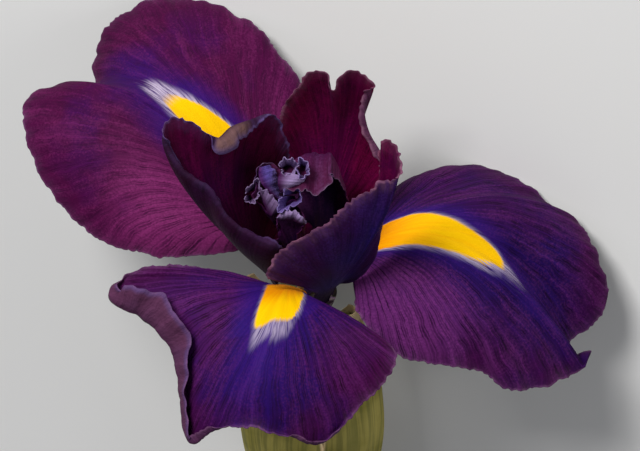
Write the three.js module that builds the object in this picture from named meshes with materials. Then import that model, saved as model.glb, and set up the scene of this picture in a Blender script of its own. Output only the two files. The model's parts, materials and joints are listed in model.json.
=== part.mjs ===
// A cut iris flower with its ovary, papery spathes and a length of stem, laid down. Units are mm.
// The flower is drawn upright about its own axis: x to the right, y to the back, z up the axis.
import * as THREE from "three";

// Driving dimensions
const PETAL_THICKNESS = 0.7;
const STYLE_THICKNESS = 0.6;
const SPATHE_THICKNESS = 0.7;
const GAP = 0.3;
const TUBE_LENGTH = 8;
const TUBE_RADIUS = 5.6;
const TUBE_NECK_RADIUS = 3.4;
const OVARY_LENGTH = 26;
const OVARY_RADIUS = 3.7;
const OVARY_RIDGE = 0.08;
const STEM_END = -122;
const STEM_RADIUS = 3.7;
const STEM_BEND = 1.2;
const COLUMN_RADIUS = 1.5;
const COLUMN_HEIGHT = 8.7;
const STAMEN_HEIGHT = 10.5;
const FILAMENT_RADIUS = 0.55;
const ANTHER_RADIUS = 0.9;

// The way that points up from the table, seen from the flower's own axes, once it lies down
const UP = new THREE.Vector3(-0.3312, -0.9228, 0.1969).normalize();

// How finely each blade is divided, as rows from claw to rim and columns across
const FALL_GRID = { haft: 3, blade: 8, hem: 2, columns: 30 };
const ROLLED_GRID = { haft: 3, blade: 8, hem: 5, columns: 28 };
const STANDARD_GRID = { haft: 2, blade: 7, hem: 2, columns: 24 };
const STYLE_GRID = { haft: 2, blade: 5, hem: 3, columns: 20 };

// How far a vein follows its neighbours before it bends to its own point of the margin
const VEIN_SPREAD = 0.16;

// The share of a hem that bends before the rest lies flat
const HEM_FOLD = 0.35;

// Each petal: a claw from base to neck, then veins that fan out to the margin.
// A margin row is x, y, z and how far the vein to it rises above a straight line.
// A hem row is the share of the way round the margin, the rim's width and its turn in degrees,
// and, where the rim is drawn out into a hook, how far it is carried along the margin.
const FALL_LEFT = {
  base: [-3.6, 3.2, 0.6],
  neck: [-6.5, 6, 9],
  start: [-0.25, 0.22, 0.9],
  heading: [-0.42, 0.4, 0.82],
  rise: [-0.1, -0.1, 1],
  widths: [4, 7],
  trough: 1.2,
  tip: 11,
  wave: [0.35, 6],
  margin: [
    [-4, 9, 10, 0], [-2, 16, 15, 1], [-0.5, 24, 20.5, 2.5], [-0.9, 28, 22, 3],
    [-2.6, 30.5, 24, 3.5], [-7, 36.2, 26.2, 4.5], [-12.2, 41, 27.5, 5.5], [-20, 45, 27.5, 7],
    [-29.3, 45.2, 26.5, 8], [-35.3, 42.3, 22.6, 11], [-37.6, 39, 18.2, 14], [-37.2, 34.7, 16, 16.5],
    [-39, 28.5, 20.5, 15], [-42.5, 29.5, 21.5, 12.5], [-49, 27.8, 20, 11], [-48.6, 21.6, 18, 10],
    [-46.4, 15, 14.3, 10], [-41.8, 10, 10.8, 9.5], [-36.2, 5, 8.3, 8.5], [-28.9, 2, 7.8, 7],
    [-21.9, 0.7, 8, 5.5], [-14, 1, 9, 3], [-9, 2.5, 8.5, 1],
  ],
  hem: [[0, 0.5, 0], [1, 0.5, 0]],
};
const FALL_RIGHT = {
  base: [4.8, 0, 0.5],
  neck: [8.5, 0, 8],
  start: [0.2, 0, 0.9],
  heading: [0.65, 0, 0.76],
  rise: [0, 0.1, 1],
  widths: [4, 7],
  trough: 1.2,
  tip: 11,
  wave: [0.35, 6],
  margin: [
    [9, -4, 6.5, 0], [8.75, -7.5, 5, 1], [11, -9.9, 2, 3], [15.75, -12.9, -2, 6],
    [20, -13.8, -3, 8], [25.4, -14.3, -3.5, 10], [30.6, -14.8, -5, 11.5], [35.9, -15.8, -8, 13],
    [42, -13, -10, 14.5], [46.6, -9.5, -11, 15], [48.9, -8, -10.3, 15.3], [46.4, -5, -11, 16],
    [46.3, -2.4, -10.5, 15.5], [48.6, -0.9, -10, 15], [53.2, 2.5, -5, 13.5], [52.2, 5, -1, 12],
    [50.2, 8.3, 2.2, 10.5],
    [47.7, 13.4, 4.3, 9], [43.2, 15, 5.3, 7.5], [39.6, 18.5, 7.3, 6.5], [34.1, 21.3, 8.2, 5.5],
    [26.3, 21.8, 9.2, 4.5], [19.25, 18.2, 9.7, 3.5], [15.75, 15, 9.5, 2], [12, 9.5, 9, 1],
    [9, 4, 8, 0],
  ],
  hem: [
    [0, 0.5, 0], [0.43, 0.5, 0], [0.45, 1.2, 40, 3], [0.462, 1.2, 40, 4.5], [0.48, 0.5, 0], [1, 0.5, 0],
  ],
};
const FALL_FRONT = {
  base: [-1.2, -4.6, 0.5],
  neck: [-2.6, -7.4, 7.8],
  start: [-0.05, -0.2, 0.9],
  heading: [-0.15, -0.78, 0.55],
  rise: [0, -0.35, 1],
  widths: [4, 5],
  trough: -0.8,
  tip: 14,
  wave: [0.35, 5],
  margin: [
    [-5.8, -8, 8.2, 0], [-9.2, -9.6, 11, 0.5], [-14, -9.3, 14, 1], [-20, -9.6, 15.3, 1.5],
    [-27, -10, 15.3, 2], [-31, -11, 13.5, 2.5], [-32.6, -13.2, 12, 3], [-28.4, -14.2, 10.5, 4],
    [-24, -16.7, 8, 5], [-21.2, -19.4, 4.5, 6], [-20.2, -24, 0.5, 7], [-19.8, -29.4, -4, 9],
    [-18.8, -31.2, -5, 9.5], [-15.4, -31.5, -1.5, 8.5], [-9.6, -33, 1.5, 8], [-2.6, -33.2, -1, 8.5],
    [1.75, -32.6, -3.8, 10], [5.25, -30.7, -2.8, 9], [7.6, -28.7, -0.5, 7.5], [12.3, -27, 4, 5.5],
    [14.9, -25.3, 8, 4], [14.9, -23.1, 9.5, 3], [11.6, -19.4, 9.5, 2], [7, -16.7, 9.5, 1.5],
    [3.6, -13, 8.4, 1], [1, -9.2, 7.2, 0],
  ],
  hem: [
    [0, 0.5, 0], [0.15, 0.5, 0], [0.17, 0.8, 110], [0.19, 4, 150], [0.21, 7, 165], [0.23, 8.5, 175],
    [0.26, 8.5, 175], [0.29, 7.6, 175], [0.32, 6.5, 170], [0.35, 5, 165], [0.4, 2.8, 160],
    [0.46, 1.6, 150], [0.5, 0.6, 20],
    [0.55, 1.6, 140], [0.64, 1.6, 140], [0.68, 0.5, 0], [1, 0.5, 0],
  ],
};
const STANDARD_LEFT = {
  upright: true,
  base: [-4.6, -1.4, 0.4],
  neck: [-5.6, -1.9, 6],
  start: [-0.15, -0.05, 1],
  heading: [-0.3, -0.1, 0.95],
  rise: [-0.9, -0.3, 0.1],
  widths: [3.3, 5.5],
  trough: -0.8,
  tip: 8,
  wave: [0.3, 6],
  margin: [
    [-5.4, 1.6, 7, 0], [-3.4, 6.4, 12, 1], [-3, 8.5, 23, 2.5], [-4.2, 8.5, 31, 3],
    [-6, 7.5, 35.2, 3.5], [-9.4, 4.6, 36.5, 4], [-12.4, 1.2, 38.2, 4], [-14.6, -0.8, 37.5, 4],
    [-16.4, -1.4, 39.1, 4], [-18.4, -1.4, 41.1, 4], [-21.4, -1.2, 42, 4], [-23.6, -2.2, 41.5, 4],
    [-24, -3.4, 39.8, 3.5], [-22.6, -4.6, 37, 3], [-20.1, -6, 34, 3], [-16.1, -7.25, 31.6, 3],
    [-14.2, -8.7, 28, 3], [-11.4, -9.7, 25, 3], [-7.5, -10.1, 22.5, 2.5], [-4.2, -9.9, 20, 2],
    [-3.6, -7, 13, 1], [-4.4, -4.2, 7.5, 0],
  ],
  hem: [
    [0, 0.4, 0], [0.15, 0.5, 0], [0.28, 0.4, 60], [0.31, 0.8, 120], [0.35, 2.2, 140], [0.39, 3.4, 150],
    [0.43, 4, 150], [0.46, 3.4, 150], [0.485, 1.2, 130], [0.5, 0.6, 60], [0.64, 0.5, 0],
    [0.7, 1.4, 120],
    [0.8, 1.9, 140], [0.88, 1.9, 140], [0.93, 0.8, 80], [1, 0.5, 0],
  ],
};
const STANDARD_BACK = {
  upright: true,
  base: [1.9, 4.4, 0.4],
  neck: [2.3, 5.3, 6],
  start: [0.05, 0.15, 1],
  heading: [0.1, 0.25, 0.95],
  rise: [0.37, 0.9, 0.1],
  widths: [3.3, 5.5],
  trough: -0.8,
  tip: 13,
  wave: [0.3, 6],
  margin: [
    [5, 4, 7, 0], [9.5, 5, 14, 1], [13, 5.7, 22, 1.5], [14, 6.5, 24.5, 2],
    [12.8, 7.7, 26.5, 2.5], [11, 8.6, 30, 3], [10.2, 9.6, 33.5, 3], [10.4, 9.8, 36, 3],
    [11, 9.4, 38.4, 3], [12, 9.5, 40.2, 3], [10, 10, 41.5, 3.5], [7.9, 10.2, 42.3, 3.5],
    [5.8, 9.7, 41.6, 3.5], [4.9, 9.5, 39.5, 4], [4, 10, 42, 3.5], [2.3, 10.5, 42.4, 3.5],
    [0.3, 10.5, 41, 3.5], [-1.6, 10.5, 38.4, 3], [-2.8, 10.5, 35, 3], [-3.95, 11.6, 30, 2.5],
    [-4.2, 12, 25, 2], [-3, 9.5, 14, 1], [-0.5, 6.3, 7, 0],
  ],
  hem: [[0, 0.5, 0], [0.06, 0.5, 0], [0.1, 1.5, 120], [0.24, 1, 120], [0.3, 0.5, 0], [1, 0.5, 0]],
};
const STANDARD_FRONT = {
  upright: true,
  base: [2.8, -3.9, 0.45],
  neck: [3.8, -5.4, 6],
  start: [0.12, -0.15, 1],
  heading: [0.3, -0.3, 0.9],
  rise: [0.62, -0.78, 0.05],
  widths: [3.3, 5],
  trough: -0.8,
  tip: 15,
  wave: [0.3, 6],
  margin: [
    [1.9, -7.2, 6.8, 0], [0.7, -8.5, 9, 0.5], [-1.4, -9.9, 11.8, 1], [-3.5, -10.7, 14.4, 1],
    [-5.8, -11.3, 14.6, 1], [-5.8, -11.6, 17, 1.5], [-4.4, -11.3, 20, 2], [-2.3, -11.6, 22.5, 2],
    [0.9, -12.1, 25.5, 2.5], [4.4, -12.2, 29, 2.5], [7.9, -12.2, 33, 3], [11, -12.2, 36, 3],
    [12.7, -12, 37.8, 3], [14.3, -13, 38.3, 3], [15.8, -13, 39.8, 3], [15.9, -12.4, 42, 3],
    [15, -11.2, 44.8, 3], [13.5, -10.1, 46, 3], [13.3, -9.8, 43.2, 3], [12.8, -9.4, 39, 3],
    [12.9, -8.4, 33, 3], [13.4, -7, 28, 3], [13.1, -6.6, 21, 2.5], [11.4, -6.4, 14, 2],
    [8.4, -6, 9, 1], [6, -3.6, 6.6, 0],
  ],
  hem: [[0, 0.5, 0], [1, 0.5, 0]],
};
const STYLE_RIGHT = {
  base: [1.1, 0, 9.5],
  neck: [3.2, 1.2, 14.5],
  start: [0.3, 0.1, 1],
  heading: [0.3, 0.3, 0.9],
  rise: [0, 0.68, 0.73],
  widths: [1.7, 4.5],
  trough: 0.4,
  tip: 10,
  wave: [0.3, 4],
  margin: [
    [1, 0.8, 15.6, 0], [-1.4, 1.6, 20, 1.5], [-3.2, 1.6, 25, 3.5], [-3.8, -0.4, 28.6, 6.5],
    [-3.3, -3.2, 29.5, 8.5], [-2.6, -4.1, 29.2, 9.5], [-1.5, -4, 29.2, 10], [-0.4, -4.3, 28.9, 10.5],
    [0.4, -4.1, 29.2, 10.5], [1.5, -4.4, 28.2, 10.5], [2.5, -4.2, 28.3, 10.5], [3.3, -3.8, 28.8, 10],
    [4, -3, 29.5, 9.4], [4.2, -2.2, 29.9, 8.6], [4.3, -1.6, 30.1, 8], [4.8, -1.4, 29.7, 7.4],
    [5.4, -1.2, 29.2, 6.8], [6.1, -0.8, 27.6, 6], [6.8, -0.2, 24.5, 4.5], [7.3, 0.8, 21, 2.5],
    [6.9, 2, 17.5, 1.5], [5, 2.4, 13.9, 0],
  ],
  hem: [[0, 0.4, 0], [1, 0.4, 0]],
};
const STYLE_LEFT = {
  base: [-0.8, 0.75, 9.5],
  neck: [-2.6, 1.4, 14],
  start: [-0.25, 0.2, 1],
  heading: [-0.45, 0.3, 0.84],
  rise: [0.45, -0.6, 0.5],
  widths: [1.7, 4.5],
  trough: 0.4,
  tip: 6,
  wave: [0.3, 4],
  margin: [
    [-1.2, 3.1, 14.6, 0], [-2.2, 3.4, 18.5, 0], [-3.8, 2.6, 22, -0.5], [-4.4, 1.4, 25.6, -0.5],
    [-4.9, 1.5, 27.7, -0.5], [-6.1, 1, 29.2, -0.5], [-7.6, 0.4, 29.4, -0.5], [-7.9, -0.7, 28.3, -0.5],
    [-8.3, -1.4, 26.9, -0.5], [-8.8, -1.9, 25, -0.3], [-8, -2.6, 23.5, 0], [-6.6, -2.6, 21.6, 0],
    [-5, -1.2, 17.5, 0], [-4.2, -0.2, 13.9, 0],
  ],
  hem: [[0, 0.4, 0], [1, 0.4, 0]],
};
const STYLE_FRONT = {
  base: [-0.3, -1.05, 9.5],
  neck: [-1, -3, 13],
  start: [-0.05, -0.3, 1],
  heading: [-0.1, -0.35, 0.9],
  rise: [0.05, 0.88, 0.4],
  widths: [1.7, 3.4],
  trough: 0.4,
  tip: 7,
  wave: [0.3, 4],
  margin: [
    [-3.1, -2.9, 13.2, 0], [-4.2, -3.9, 16, 0], [-4, -4.5, 19, 0], [-4.2, -5, 21.2, 0],
    [-4.4, -5.2, 22.4, 0.5], [-4, -4.4, 23.6, 0.5], [-3.2, -3.4, 24.6, 0.5], [-1.8, -2.6, 24.6, 0.5],
    [-0.9, -3, 23.8, 0.5], [-0.2, -4.6, 22.8, 0.5], [0.2, -5.6, 22, 0.5], [-0.4, -5.5, 20.4, 0],
    [-0.8, -4.6, 17.5, 0], [-0.4, -3.4, 13.4, 0],
  ],
  hem: [[0, 0.4, 0], [1, 0.4, 0]],
};

// The two spathe valves: level, middle in x and y, half widths in x and y, and half angle in degrees
const SPATHE_OUTER = {
  keel: 180,
  rows: [
    [-75, 0, 1.4, 5.3, 5.3, 150], [-66, 0, 1.6, 6.6, 6.2, 128], [-55, 1.6, 2.2, 9.6, 7.2, 112],
    [-42, 1.2, 1.9, 11.6, 7.6, 104], [-28, 0, 1.6, 11.6, 7.2, 100], [-16, -2.2, 1.8, 9.8, 6.4, 92],
    [-8, -5.2, 3.2, 5.8, 4.6, 80], [-2.5, -8.2, 5, 2.4, 1.6, 70],
  ],
};
const SPATHE_INNER = {
  keel: 0,
  rows: [
    [-72, 0, 1.4, 4.25, 4.25, 62], [-62, 0.4, 1.7, 5.8, 4.8, 80], [-50, 2.4, 2.1, 9.2, 5.8, 92],
    [-38, 3.2, 1.6, 10.2, 6.1, 92], [-26, 3.4, 1.2, 9.6, 6, 88], [-16, 3.8, 0.8, 7.8, 5, 84],
    [-9.5, 5.2, 0.4, 4.8, 3.4, 78], [-5, 7, 0, 2, 1.4, 70],
  ],
};

// The stem's middle line bows a little to the back on its way down
const stemMiddle = (z) => {
  const t = (z + TUBE_LENGTH + OVARY_LENGTH) / (STEM_END + TUBE_LENGTH + OVARY_LENGTH);
  return new THREE.Vector3(0, STEM_BEND * 3 * Math.max(t, 0) * (1 - 0.35 * t), z);
};

const vec = (row) => new THREE.Vector3(row[0], row[1], row[2]);
const mix = (a, b, t) => a + (b - a) * t;

// A smooth curve through a list of rows, read at a share t of the way along
function through(rows, t) {
  const last = rows.length - 1;
  const at = THREE.MathUtils.clamp(t, 0, 1) * last;
  const i = Math.min(Math.floor(at), last - 1);
  const u = at - i;
  const b = rows[i];
  const c = rows[i + 1];
  return b.map((_, k) => {
    const a = i > 0 ? rows[i - 1][k] : 2 * b[k] - c[k];
    const d = i < last - 1 ? rows[i + 2][k] : 2 * c[k] - b[k];
    return 0.5 * (2 * b[k] + (c[k] - a) * u + (2 * a - 5 * b[k] + 4 * c[k] - d) * u * u
      + (3 * b[k] - a - 3 * c[k] + d) * u * u * u);
  });
}

// The middling row of several
const middling = (rows) =>
  rows[0].map((_, k) => rows.reduce((sum, row) => sum + row[k], 0) / rows.length);

// Keyed rows [share, width, turn, lean] read at v with straight steps between the keys
function keyed(rows, v) {
  const i = Math.max(1, rows.findIndex((row) => row[0] >= v));
  const [before, after] = [rows[i - 1], rows[i]];
  const t = (v - before[0]) / (after[0] - before[0]);
  return [1, 2, 3].map((k) => mix(before[k] ?? 0, after[k] ?? 0, t));
}

// A cubic curve from a to d
function cubic(a, b, c, d, t) {
  const s = 1 - t;
  return a.clone().multiplyScalar(s * s * s).addScaledVector(b, 3 * s * s * t)
    .addScaledVector(c, 3 * s * t * t).addScaledVector(d, t * t * t);
}

// One column of a petal, from its base up the claw and out along a vein to the rim
function petalColumn(spec, grid, v) {
  const w = 2 * v - 1;
  const half = (spec.margin.length - 1) / 2;
  const place = (x) => (spec.tip + x * half + x * x * (half - spec.tip)) / (2 * half);
  const cup = 1 - w * w;
  const rim = vec(through(spec.margin, place(w)));
  const calm = middling([-1, 0, 1].map((k) => through(spec.margin, place(w + k * cup * VEIN_SPREAD))));
  const heading = vec(spec.heading).normalize();
  const rise = vec(spec.rise).normalize();
  const side = heading.clone().cross(rise).normalize();
  const hand = spec.upright ? 1 : -1;
  const across = (at, width, trough) => vec(at)
    .addScaledVector(side, hand * w * width / 2).addScaledVector(rise, -cup * trough);
  const foot = across(spec.base, spec.widths[0], 0);
  const neck = across(spec.neck, spec.widths[1], spec.trough);
  const claw = 0.35 * foot.distanceTo(neck);
  const points = [];
  for (let i = 0; i < grid.haft; i++) {
    const up = foot.clone().addScaledVector(vec(spec.start).normalize(), claw);
    points.push(cubic(foot, up, neck.clone().addScaledVector(heading, -claw), neck, i / grid.haft));
  }
  const chord = vec(calm).sub(neck);
  const length = chord.length();
  const ahead = THREE.MathUtils.clamp(chord.dot(heading) / length, 0, 1);
  const first = neck.clone().addScaledVector(heading, length * (0.12 + 0.22 * ahead))
    .addScaledVector(rise, calm[3] * 0.35);
  const second = neck.clone().addScaledVector(chord, 0.62).addScaledVector(rise, calm[3] * 1.6);
  for (let i = 0; i <= grid.blade; i++) points.push(cubic(neck, first, second, rim, i / grid.blade));
  const step = (x) => vec(through(spec.margin, place(THREE.MathUtils.clamp(x, -1, 1))));
  const along = step(w + 0.02).sub(step(w - 0.02)).normalize();
  const out = rim.clone().sub(second).normalize();
  out.addScaledVector(along, -out.dot(along)).normalize();
  const up = out.clone().cross(along).normalize();
  const [width, turn, lean] = keyed(spec.hem, v);
  const last = rim.clone();
  for (let i = 0; i < grid.hem; i++) {
    const angle = THREE.MathUtils.degToRad(turn) * Math.min(1, (i + 0.5) / grid.hem / HEM_FOLD);
    last.addScaledVector(out, Math.cos(angle) * width / grid.hem)
      .addScaledVector(up, Math.sin(angle) * width / grid.hem)
      .addScaledVector(along, lean / grid.hem);
    points.push(last.clone());
  }
  const [height, waves] = spec.wave;
  points.forEach((p, i) => {
    const t = Math.max(0, (i - grid.haft) / grid.blade);
    p.addScaledVector(up, height * Math.sin(2 * Math.PI * waves * v + waves) * Math.min(1, t) ** 4
      * Math.sin(Math.PI * v) ** 0.5);
  });
  return points;
}

// The middle surface of a petal as rows of points
function petalRows(spec, grid) {
  const columns = [];
  for (let j = 0; j <= grid.columns; j++) columns.push(petalColumn(spec, grid, j / grid.columns));
  return columns[0].map((_, i) => columns.map((column) => column[i]));
}

// The middle surface of a spathe valve: a boat shape folded along its keel
function spatheRows(spec, levels, columns) {
  const keel = THREE.MathUtils.degToRad(spec.keel);
  const rows = [];
  for (let i = 0; i <= levels; i++) {
    const [z, x, y, a, b, half] = through(spec.rows, i / levels);
    const row = [];
    for (let j = 0; j <= columns; j++) {
      const turn = keel + THREE.MathUtils.degToRad(half) * (2 * j / columns - 1);
      const ridge = 1 + 0.06 * Math.exp(-(((j / columns - 0.5) * 14) ** 2));
      row.push(new THREE.Vector3(x + a * ridge * Math.cos(turn), y + b * Math.sin(turn), z));
    }
    rows.push(row);
  }
  return rows;
}

// A closed solid from one ring of points after another, capped at both ends
function loft(rings) {
  const sides = rings[0].length;
  const points = rings.flat();
  const faces = [];
  for (let i = 0; i < rings.length - 1; i++)
    for (let j = 0; j < sides; j++) {
      const k = (j + 1) % sides;
      const [a, b, c, d] = [i * sides + j, i * sides + k, (i + 1) * sides + k, (i + 1) * sides + j];
      faces.push([a, b, c], [a, c, d]);
    }
  const top = (rings.length - 1) * sides;
  for (let j = 1; j < sides - 1; j++) faces.push([0, j + 1, j], [top, top + j, top + j + 1]);
  return solid(points, faces);
}

// A closed blade: the middle surface moved half the thickness to each side, with a wall all round
function blade(rows, thickness) {
  const m = rows.length;
  const n = rows[0].length;
  const at = (i, j) => rows[Math.min(Math.max(i, 0), m - 1)][Math.min(Math.max(j, 0), n - 1)];
  const points = [];
  for (const sign of [1, -1])
    for (let i = 0; i < m; i++)
      for (let j = 0; j < n; j++) {
        const along = at(i + 1, j).clone().sub(at(i - 1, j));
        const across = at(i, j + 1).clone().sub(at(i, j - 1));
        const normal = along.cross(across).normalize();
        points.push(rows[i][j].clone().addScaledVector(normal, sign * thickness / 2));
      }
  const under = m * n;
  const faces = [];
  for (let i = 0; i < m - 1; i++)
    for (let j = 0; j < n - 1; j++) {
      const [a, b, c, d] = [i * n + j, (i + 1) * n + j, (i + 1) * n + j + 1, i * n + j + 1];
      faces.push([a, b, c], [a, c, d]);
      faces.push([under + a, under + c, under + b], [under + a, under + d, under + c]);
    }
  const edge = [];
  for (let j = 0; j < n - 1; j++) edge.push(j);
  for (let i = 0; i < m - 1; i++) edge.push(i * n + n - 1);
  for (let j = n - 1; j > 0; j--) edge.push((m - 1) * n + j);
  for (let i = m - 1; i > 0; i--) edge.push(i * n);
  edge.forEach((a, k) => {
    const b = edge[(k + 1) % edge.length];
    faces.push([a, b, under + b], [a, under + b, under + a]);
  });
  return solid(points, faces);
}

// A geometry from points and triangles, turned the right way out
function solid(points, faces) {
  let volume = 0;
  for (const [a, b, c] of faces) volume += points[a].dot(points[b].clone().cross(points[c]));
  const flat = volume < 0 ? faces.map(([a, b, c]) => [a, c, b]) : faces;
  const geometry = new THREE.BufferGeometry().setFromPoints(points);
  geometry.setIndex(flat.flat());
  geometry.computeVertexNormals();
  return geometry;
}

// A round or three-sided ring about a middle point
function ring(middle, radius, sides, ridge = 0) {
  const points = [];
  for (let j = 0; j < sides; j++) {
    const turn = 2 * Math.PI * j / sides;
    const r = radius * (1 + ridge * Math.cos(3 * turn));
    const out = new THREE.Vector3(r * Math.cos(turn), r * Math.sin(turn), 0);
    points.push(out.add(middle));
  }
  return points;
}

// The stamen: a thin filament that widens into a long anther
function stamen(azimuth) {
  const turn = THREE.MathUtils.degToRad(azimuth);
  const rows = [
    [2.8, 0, FILAMENT_RADIUS], [3, 0.25, FILAMENT_RADIUS], [3.2, 0.42, 0.6], [3.4, 0.55, ANTHER_RADIUS],
    [3.8, 0.8, ANTHER_RADIUS], [4, 0.94, 0.7], [4.1, 1, 0.3],
  ];
  return loft(rows.map(([r, t, width]) => {
    const middle = new THREE.Vector3(r * Math.cos(turn), r * Math.sin(turn), GAP + STAMEN_HEIGHT * t);
    return ring(middle, width, 10);
  }));
}

const GREEN_TUBE = [
  [0, TUBE_RADIUS], [-1.5, TUBE_RADIUS - 0.4], [-4, TUBE_NECK_RADIUS + 0.6],
  [-TUBE_LENGTH, TUBE_NECK_RADIUS],
];

// The ovary swells in the middle and is gently three-sided
function ovary() {
  const rings = [];
  const top = -TUBE_LENGTH - GAP;
  for (let i = 0; i <= 8; i++) {
    const t = i / 8;
    const radius = mix(TUBE_NECK_RADIUS, OVARY_RADIUS, Math.sin(Math.PI * t) ** 0.7);
    rings.push(ring(stemMiddle(top - t * (OVARY_LENGTH - 2 * GAP)), radius, 24, OVARY_RIDGE));
  }
  return loft(rings);
}

// The stem, from below the ovary to its plain cut end
function stem() {
  const rings = [];
  const top = -TUBE_LENGTH - OVARY_LENGTH - GAP / 2;
  for (let i = 0; i <= 8; i++) {
    const z = mix(top, STEM_END, i / 8);
    rings.push(ring(stemMiddle(z), STEM_RADIUS - 0.3 + 0.4 * i / 8, 20));
  }
  return loft(rings);
}

const finish = (color, roughness) =>
  new THREE.MeshStandardMaterial({ color, roughness, side: THREE.DoubleSide });
const flower = new THREE.Group();
const pieces = new THREE.Group();
flower.add(pieces);

// One named mesh in the flower
function add(name, geometry, color, roughness = 0.6) {
  const mesh = new THREE.Mesh(geometry, finish(color, roughness));
  mesh.name = name;
  pieces.add(mesh);
}

const petals = [
  ["fall_left", FALL_LEFT, FALL_GRID, 0x7a3b8c], ["fall_right", FALL_RIGHT, FALL_GRID, 0x7a3b8c],
  ["fall_front", FALL_FRONT, ROLLED_GRID, 0x7a3b8c],
  ["standard_left", STANDARD_LEFT, STANDARD_GRID, 0x5a1440],
  ["standard_back", STANDARD_BACK, STANDARD_GRID, 0x5a1440],
  ["standard_front", STANDARD_FRONT, STANDARD_GRID, 0x3c2470],
];
for (const [name, spec, grid, color] of petals)
  add(name, blade(petalRows(spec, grid), PETAL_THICKNESS), color);
const arms = [
  ["style_arm_left", STYLE_LEFT], ["style_arm_right", STYLE_RIGHT], ["style_arm_front", STYLE_FRONT],
];
for (const [name, spec] of arms)
  add(name, blade(petalRows(spec, STYLE_GRID), STYLE_THICKNESS), 0x9a8cc8);
for (const [name, azimuth] of [["stamen_left", 138], ["stamen_right", 0], ["stamen_front", 255]])
  add(name, stamen(azimuth), 0xcdbb8a, 0.8);

const column = [0, COLUMN_HEIGHT].map((z) => ring(new THREE.Vector3(0, 0, GAP + z), COLUMN_RADIUS, 20));
add("style_column", loft(column), 0x7a68b0);
const tube = GREEN_TUBE.map(([z, r]) => ring(new THREE.Vector3(0, 0, z), r, 24));
add("perianth_tube", loft(tube), 0x8f9a58);
add("ovary", ovary(), 0x6f8a45);
add("spathe_outer", blade(spatheRows(SPATHE_OUTER, 11, 16), SPATHE_THICKNESS), 0x8d9a5c, 0.8);
add("spathe_inner", blade(spatheRows(SPATHE_INNER, 11, 12), SPATHE_THICKNESS), 0x8d9a5c, 0.8);
add("stem", stem(), 0x6d8346);

// Lay the flower down: the bloom faces -Y, and the box sits on z = 0 about the origin
const axis = new THREE.Vector3(0, 0, 1);
const back = axis.addScaledVector(UP, -axis.dot(UP)).normalize().negate();
const right = back.clone().cross(UP);
const turned = new THREE.Matrix4().makeBasis(right, back, UP).invert();
pieces.traverse((mesh) => mesh.geometry?.applyMatrix4(turned));
const box = new THREE.Box3().setFromObject(pieces);
const middle = box.getCenter(new THREE.Vector3());
pieces.traverse((mesh) => mesh.geometry?.translate(-middle.x, -middle.y, -box.min.z));

export default flower;
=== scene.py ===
"""A cut iris flower lying on its side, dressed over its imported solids.

The flower is drawn in millimetres about its own axis, x to the right, y to the back and z up the
axis, and is then laid down into the row frame, in metres.
"""

import json
import logging
import math
from dataclasses import dataclass, replace
from enum import Enum

import bpy
import numpy as np
from mathutils import Matrix, Vector

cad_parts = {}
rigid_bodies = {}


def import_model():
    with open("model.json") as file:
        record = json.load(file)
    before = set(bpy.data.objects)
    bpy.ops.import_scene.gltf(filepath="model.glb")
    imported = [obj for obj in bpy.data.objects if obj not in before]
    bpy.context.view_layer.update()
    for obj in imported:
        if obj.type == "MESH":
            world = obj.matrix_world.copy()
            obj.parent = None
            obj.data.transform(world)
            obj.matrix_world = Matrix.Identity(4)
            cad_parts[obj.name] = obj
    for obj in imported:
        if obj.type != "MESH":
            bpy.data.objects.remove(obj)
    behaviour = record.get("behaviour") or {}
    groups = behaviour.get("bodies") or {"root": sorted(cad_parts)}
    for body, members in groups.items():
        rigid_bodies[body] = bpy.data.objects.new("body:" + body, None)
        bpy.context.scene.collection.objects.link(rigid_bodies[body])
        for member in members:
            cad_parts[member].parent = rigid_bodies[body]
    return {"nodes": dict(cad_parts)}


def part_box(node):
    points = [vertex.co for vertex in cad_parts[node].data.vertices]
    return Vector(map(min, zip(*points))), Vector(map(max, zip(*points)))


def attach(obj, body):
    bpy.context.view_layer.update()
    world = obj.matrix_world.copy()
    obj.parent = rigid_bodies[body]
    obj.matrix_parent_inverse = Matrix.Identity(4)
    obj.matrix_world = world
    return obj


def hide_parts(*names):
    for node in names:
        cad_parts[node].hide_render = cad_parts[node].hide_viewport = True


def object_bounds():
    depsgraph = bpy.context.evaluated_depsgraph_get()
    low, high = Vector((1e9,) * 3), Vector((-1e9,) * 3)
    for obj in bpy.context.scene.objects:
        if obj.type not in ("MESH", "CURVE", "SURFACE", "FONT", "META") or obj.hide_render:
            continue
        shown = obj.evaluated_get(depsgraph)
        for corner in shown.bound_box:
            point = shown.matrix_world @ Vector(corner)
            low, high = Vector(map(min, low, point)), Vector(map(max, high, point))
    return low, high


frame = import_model()
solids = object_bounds()

LOG = logging.getLogger("iris")
MM = 0.001
Array = np.ndarray
Row = tuple[float, ...]
Socket = bpy.types.NodeSocket
Feed = Socket | float | int | str | bool | tuple


class Order(Enum):
    """The three whorls of blades."""

    FALL = "fall"
    STANDARD = "standard"
    STYLE = "style"

    def side(self) -> int:
        """Returns which way a blade is counted across: a standard is drawn from outside."""
        return 1 if self is Order.STANDARD else -1


def unit(v: Array) -> Array:
    """Returns vectors scaled to a length of one."""
    return v / np.maximum(np.linalg.norm(v, axis=-1, keepdims=True), 1e-9)


def lengths(points: Array, axis: int = 0) -> Array:
    """Returns the length from the first point to each one, along an axis of a grid of points."""
    steps = np.linalg.norm(np.diff(points, axis=axis), axis=-1)
    return np.concatenate([0 * np.take(steps, [0], axis), np.cumsum(steps, axis=axis)], axis)


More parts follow.
